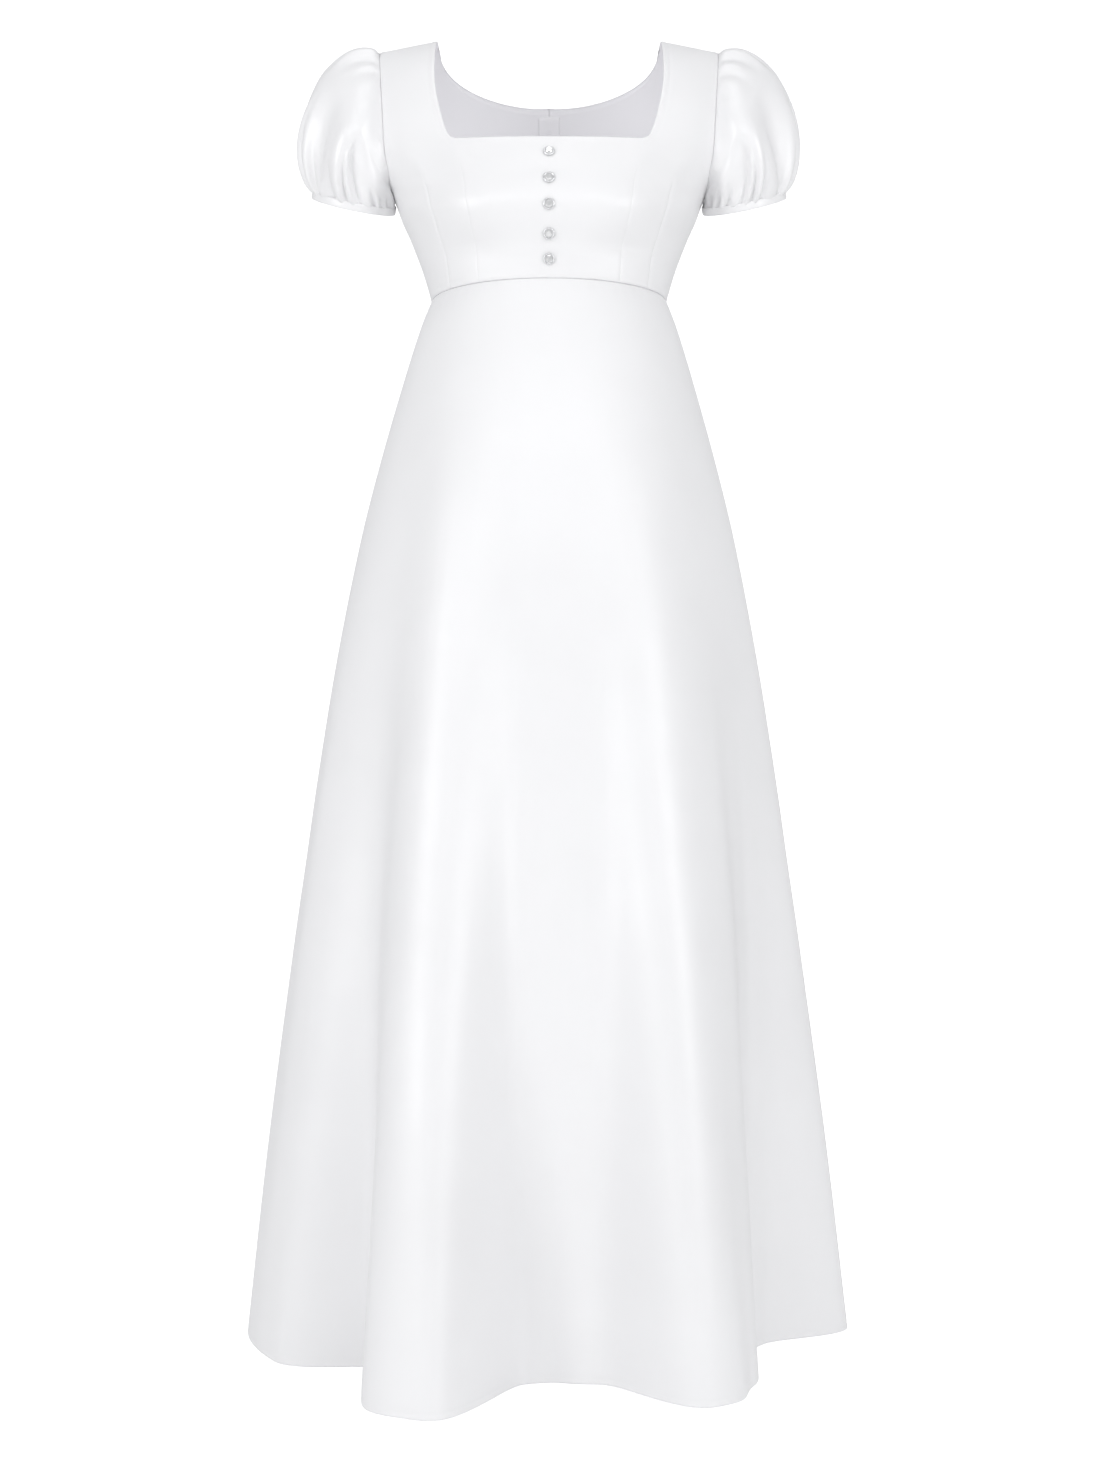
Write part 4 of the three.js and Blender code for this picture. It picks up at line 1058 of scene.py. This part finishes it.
def finishes(context):
    """The gown's materials by name, made the first time they are asked for."""
    look = context.scene.gown_cloth
    trim = context.scene.gown_trim
    made = bpy.data.materials
    if "satin_face" not in made:
        satin = tuple(look.satin)
        dim = tuple(0.95 * c for c in satin)
        for name, gloss in (("satin_face", look.gloss + 0.06), ("satin_gathered", look.gloss - 0.02)):
            cloth_material(name, satin, dim, (gloss - 0.03, gloss + 0.05), 0.02, 0.5, {
                "Anisotropic": 0.5,
                "Specular IOR Level": 0.8,
                "Sheen Weight": 0.12,
                "Sheen Roughness": 0.4,
            })
        inside = tuple(look.inside)
        # The lining glows faintly in its own colour. This is a painted glow standing in for light that passes
        # through the satin from behind, and it brightens the inside seen at the neck and at the hem's
        # turning.
        cloth_material("satin_inside", inside, tuple(0.94 * c for c in inside), (0.62, 0.75), 0.05, 0.4, {
            "Specular IOR Level": 0.3,
            "Sheen Weight": 0.1,
            "Emission Color": (*inside, 1),
            "Emission Strength": 0.1,
        }, tangent=False)
        tape = tuple(trim.tape)
        # The tape and the coil glow faintly in the tape's colour. This is a painted glow standing in for
        # light reaching the inside of the back.
        cloth_material("zip_tape_weave", tape, tuple(0.96 * c for c in tape), (0.75, 0.9), 0.15, 0.2, {
            "Specular IOR Level": 0.25,
            "Emission Color": (*tape, 1),
            "Emission Strength": 0.1,
        }, tangent=False)
        stone = tuple(trim.stone)
        # The stone's colour runs from dark grey to bright in blotches about as large as its facets. These are
        # painted reflections and glints standing in for the broken highlights of cut glass.
        painted_glint_tones = (*(0.55 * c for c in stone), 1), (*(min(1, 1.25 * c) for c in stone), 1)
        polish = {"Metallic": 0.6, "Coat Weight": 1.0, "Coat Roughness": 0.03}
        wear_and_glint_material("cut_stone", painted_glint_tones, (0.05, 0.16), (420.0, 2.0), polish)
        for name, colour, metallic, gloss in (
            ("silver_setting", trim.setting, 1.0, 0.24),
            ("zip_enamel", trim.enamel, 0.15, 0.34),
        ):
            tones = (*(0.82 * c for c in colour), 1), (*colour, 1)
            wear_and_glint_material(name, tones, (gloss - 0.07, gloss + 0.1), (900.0, 3.0), {"Metallic": metallic})
    return made


def wear_and_glint_material(name, tones, gloss, noise, values):
    """Cut glass, metal or enamel with small variations of gloss and tone: wear on metal and enamel, painted
    reflections and glints on cut glass. The noise is a scale and a detail, over the piece's own coordinates."""
    _, tree, shader = new_material(name, values)
    place = node_of(tree, "ShaderNodeTexCoord")
    wear = node_of(tree, "ShaderNodeGroup", node_tree=wear_and_glint_group())
    set_inputs(wear, {
        "Place": place.outputs["Object"],
        "Scale": noise[0],
        "Detail": noise[1],
        "Dark": tones[0],
        "Bright": tones[1],
        "Gloss low": gloss[0],
        "Gloss high": gloss[1],
    })
    # The group's colour is wear on metal and enamel, and painted reflections and glints on cut glass.
    set_inputs(shader, {"Base Color": wear.outputs["Colour"], "Roughness": wear.outputs["Roughness"]})


def wear_on(piece, node):
    """Puts a piece on the dress, in place of its solid if it has one."""
    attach(piece, BODY)
    if node:
        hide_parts(node)


def colour_property(name, description, default):
    """A colour setting."""
    return bpy.props.FloatVectorProperty(
        name=name, description=description, default=default, min=0, max=1, subtype="COLOR"
    )


class GownCloth(bpy.types.PropertyGroup):
    """Sizes and colours of the gown's cloth."""

    thickness: bpy.props.FloatProperty(
        name="Satin thickness",
        description="Thickness of the satin with its lining",
        default=0.0009,
        min=0.0003,
        max=0.003,
        unit="LENGTH",
    )
    satin: colour_property("Satin", "Colour of the satin's face", (0.85, 0.849, 0.858))
    # The inside colour also tints the lining's painted glow of light through the satin.
    inside: colour_property("Inside", "Colour of the lining seen at the neck", (0.88, 0.875, 0.895))
    gloss: bpy.props.FloatProperty(
        name="Roughness",
        description="Roughness of the satin's face",
        default=0.33,
        min=0.1,
        max=0.9,
        subtype="FACTOR",
    )


class GownTrim(bpy.types.PropertyGroup):
    """Sizes and colours of the buttons and the zip."""

    button: bpy.props.FloatProperty(
        name="Button radius",
        description="Radius of a cut-glass button over its setting",
        default=BUTTON_RADIUS * MM,
        min=0.003,
        max=0.02,
        unit="LENGTH",
    )
    # The stone colour is scaled into the dark and bright tones of the stone's painted reflections and glints.
    stone: colour_property("Stone", "Colour of the cut glass", (0.9, 0.91, 0.93))
    setting: colour_property("Setting", "Colour of the button's metal setting", (0.86, 0.865, 0.875))
    # The zip tape colour also tints the painted glow of the tape and coil.
    tape: colour_property("Zip tape", "Colour of the zip's tape and coil", (0.89, 0.885, 0.905))
    enamel: colour_property("Zip enamel", "Colour of the slider and its pull", (0.78, 0.78, 0.8))


class GownStage(bpy.types.PropertyGroup):
    """The floor and the light."""

    floor: colour_property("Floor", "Colour of the floor and backdrop", (0.9, 0.9, 0.9))
    key: bpy.props.FloatProperty(
        name="Key light",
        description="Power of the large light on the front's left, which the others are a share of",
        default=25.5,
        min=0,
        unit="POWER",
    )
    sky: bpy.props.FloatProperty(
        name="Room light",
        description="Strength of the even light from all round",
        default=0.6,
        min=0,
    )


class GOWN_OT_bodice(bpy.types.Operator):
    """Makes the front of the bodice and its two backs."""

    bl_idname = "gown.bodice"
    bl_label = "Bodice"

    def execute(self, context):
        look = finishes(context)
        thick = context.scene.gown_cloth.thickness / MM
        cloth = [look["satin_face"], look["satin_inside"]]
        points, keep = bodice_front_points()
        front = cloth_piece("bodice_front_cloth", points, cloth, thick, keep=keep)
        wear_on(front, "bodice_front")
        for side, word in ((1, "right"), (-1, "left")):
            back = cloth_piece(f"bodice_back_cloth_{word}", bodice_back_points(side), cloth, thick)
            wear_on(back, f"bodice_back_{word}")
        return {"FINISHED"}


class GOWN_OT_skirt(bpy.types.Operator):
    """Makes the skirt's three panels with their hems."""

    bl_idname = "gown.skirt"
    bl_label = "Skirt"

    def execute(self, context):
        look = finishes(context)
        thick = context.scene.gown_cloth.thickness / MM
        cloth = [look["satin_face"], look["satin_inside"]]
        panels = (
            ("front", "skirt_front_cloth", -90, 90, (1.21, 1.18), 0.93),
            ("back_right", "skirt_back_cloth_right", 90, 180, (0.55, 1.15), 0.422),
            ("back_left", "skirt_back_cloth_left", -180, -90, (0.55, 1.15), 0.422),
        )
        for word, name, start, stop, flat, area in panels:
            panel = cloth_piece(name, skirt_points(start, stop), cloth, thick)
            turning = cloth_piece(f"hem_turn_{word}", hem_turn_points(start, stop), [cloth[1], cloth[1]], 0.5)
            wear_on(panel, f"skirt_{word}")
            wear_on(turning, None)
        return {"FINISHED"}


class GOWN_OT_sleeves(bpy.types.Operator):
    """Makes the two puff sleeves and their cuffs."""

    bl_idname = "gown.sleeves"
    bl_label = "Sleeves"

    def execute(self, context):
        look = finishes(context)
        thick = context.scene.gown_cloth.thickness / MM
        cloth = [look["satin_gathered"], look["satin_inside"]]
        for side, word in ((1, "right"), (-1, "left")):
            points = sleeve_points(side)
            sleeve = cloth_piece(f"sleeve_cloth_{word}", points, cloth, 0.8 * thick, around=True)
            wear_on(sleeve, f"sleeve_{word}")
            cuff = cuff_piece(f"cuff_cloth_{word}", side, [cloth[0]])
            wear_on(cuff, f"cuff_{word}")
        return {"FINISHED"}


class GOWN_OT_buttons(bpy.types.Operator):
    """Makes the five cut-glass buttons in their settings."""

    bl_idname = "gown.buttons"
    bl_label = "Buttons"

    def execute(self, context):
        look = finishes(context)
        radius = context.scene.gown_trim.button / MM
        for k, drop in enumerate(BUTTON_DROPS, 1):
            rim = button_rim(f"button_rim_{k}", drop, radius, [look["silver_setting"]])
            stone = cut_glass(f"button_glass_{k}", drop, radius, [look["cut_stone"]])
            wear_on(rim, None)
            wear_on(stone, f"button_{k}")
        return {"FINISHED"}


class GOWN_OT_zip(bpy.types.Operator):
    """Makes the zip's tape and coil, and gives the slider and its pull their finish."""

    bl_idname = "gown.zip"
    bl_label = "Zip"

    def execute(self, context):
        look = finishes(context)
        weave = look["zip_tape_weave"]
        tape = cloth_piece("zip_tape_cloth", zip_tape_points(), [weave, weave], 0.6)
        wear_on(tape, "zip_tape")
        coil = zip_coil("zip_coil", [weave])
        wear_on(coil, None)
        for node in ("zip_slider", "zip_pull"):
            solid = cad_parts[node]
            for place in solid.material_slots:
                place.material = look["zip_enamel"]
        return {"FINISHED"}


def area_light(name, place, aim, size, power):
    """A rectangular soft light at a place in metres, aimed at a point."""
    light = bpy.data.lights.new(name, "AREA")
    light.shape = "RECTANGLE"
    light.size, light.size_y = size
    light.energy = power
    lamp = link(bpy.data.objects.new(name, light))
    lamp.location = place
    lamp.rotation_euler = (Vector(aim) - Vector(place)).to_track_quat("-Z", "Y").to_euler()


class GOWN_OT_stage(bpy.types.Operator):
    """Makes the pale floor and backdrop, the soft light and the camera."""

    bl_idname = "gown.stage"
    bl_label = "Stage"

    def execute(self, context):
        stage = context.scene.gown_stage
        material, tree, shader = new_material("pale_floor", {
            "Base Color": (*stage.floor, 1),
            "Roughness": 0.9,
            "Emission Color": (1, 1, 1, 1),
        })
        # The glow that makes the backdrop white is for the camera, so that it doesn't light the cloth.
        seen_by = node_of(tree, "ShaderNodeLightPath").outputs["Is Camera Ray"]
        place = node_of(tree, "ShaderNodeTexCoord").outputs["Object"]
        grain = node_of(tree, "ShaderNodeTexNoise", {"Vector": place, "Scale": 3.0, "Detail": 2.0}).outputs[0]
        set_inputs(shader, {
            "Emission Strength": rescaled(tree, seen_by, 0.1, 0.75),
            "Roughness": rescaled(tree, grain, 0.82, 0.95),
        })
        # The floor runs from y -9 to 3 m and curves up into the backdrop at 5 m on a quarter circle.
        turn = np.linspace(0, np.pi / 2, 25)
        y = np.concatenate([[-9], 3 + 2 * np.sin(turn), [5]])
        z = np.concatenate([[0], 2 - 2 * np.cos(turn), [8]]) + FLOOR_Z
        x = np.array([-12.0, 12.0])
        points = np.stack(np.broadcast_arrays(x[None, :], y[:, None], z[:, None]), axis=-1)
        quads, _ = grid_faces(len(y), 2)
        sweep = mesh_piece("floor_sweep", points.reshape(-1, 3) / MM, quads, [material])
        world = context.scene.world or bpy.data.worlds.new("room")
        context.scene.world = world
        world.use_nodes = True
        room = {"Color": (0.98, 0.985, 1, 1), "Strength": stage.sky}
        set_inputs(world.node_tree.nodes["Background"], room)
        for name, (at, aim, size, share) in LIGHTS.items():
            area_light(name, at, aim, size, share * stage.key)
        camera = bpy.data.cameras.new("camera")
        camera.lens = LENS
        camera.sensor_width = 36
        camera.clip_end = 60
        seen = link(bpy.data.objects.new("camera", camera))
        seen.location = CAMERA_PLACE
        seen.rotation_euler = (math.pi / 2, 0, 0)
        context.scene.camera = seen
        context.scene.view_settings.view_transform = "Standard"
        return {"FINISHED"}


class GOWN_PT_panel(bpy.types.Panel):
    """The gown's sizes, colours and pieces."""

    bl_idname = "GOWN_PT_panel"
    bl_label = "Gown"
    bl_space_type = "VIEW_3D"
    bl_region_type = "UI"
    bl_category = "Gown"

    def draw(self, context):
        for settings in (context.scene.gown_cloth, context.scene.gown_trim, context.scene.gown_stage):
            box = self.layout.box()
            for name in settings.__annotations__:
                box.prop(settings, name)
        for step in STEPS:
            self.layout.operator(step.bl_idname)


SETTINGS = {"gown_cloth": GownCloth, "gown_trim": GownTrim, "gown_stage": GownStage}
STEPS = (GOWN_OT_bodice, GOWN_OT_skirt, GOWN_OT_sleeves, GOWN_OT_buttons, GOWN_OT_zip, GOWN_OT_stage)


def register():
    """Adds the classes and the scene's settings."""
    for made in (*SETTINGS.values(), *STEPS, GOWN_PT_panel):
        bpy.utils.register_class(made)
    for name, group in SETTINGS.items():
        setattr(bpy.types.Scene, name, bpy.props.PointerProperty(type=group))


def unregister():
    """Takes the settings and the classes away again."""
    for name in SETTINGS:
        delattr(bpy.types.Scene, name)
    for made in reversed((*SETTINGS.values(), *STEPS, GOWN_PT_panel)):
        bpy.utils.unregister_class(made)


def main():
    register()
    bpy.ops.gown.bodice()
    bpy.ops.gown.skirt()
    bpy.ops.gown.sleeves()
    bpy.ops.gown.buttons()
    bpy.ops.gown.zip()
    bpy.ops.gown.stage()


if __name__ == "__main__":
    main()
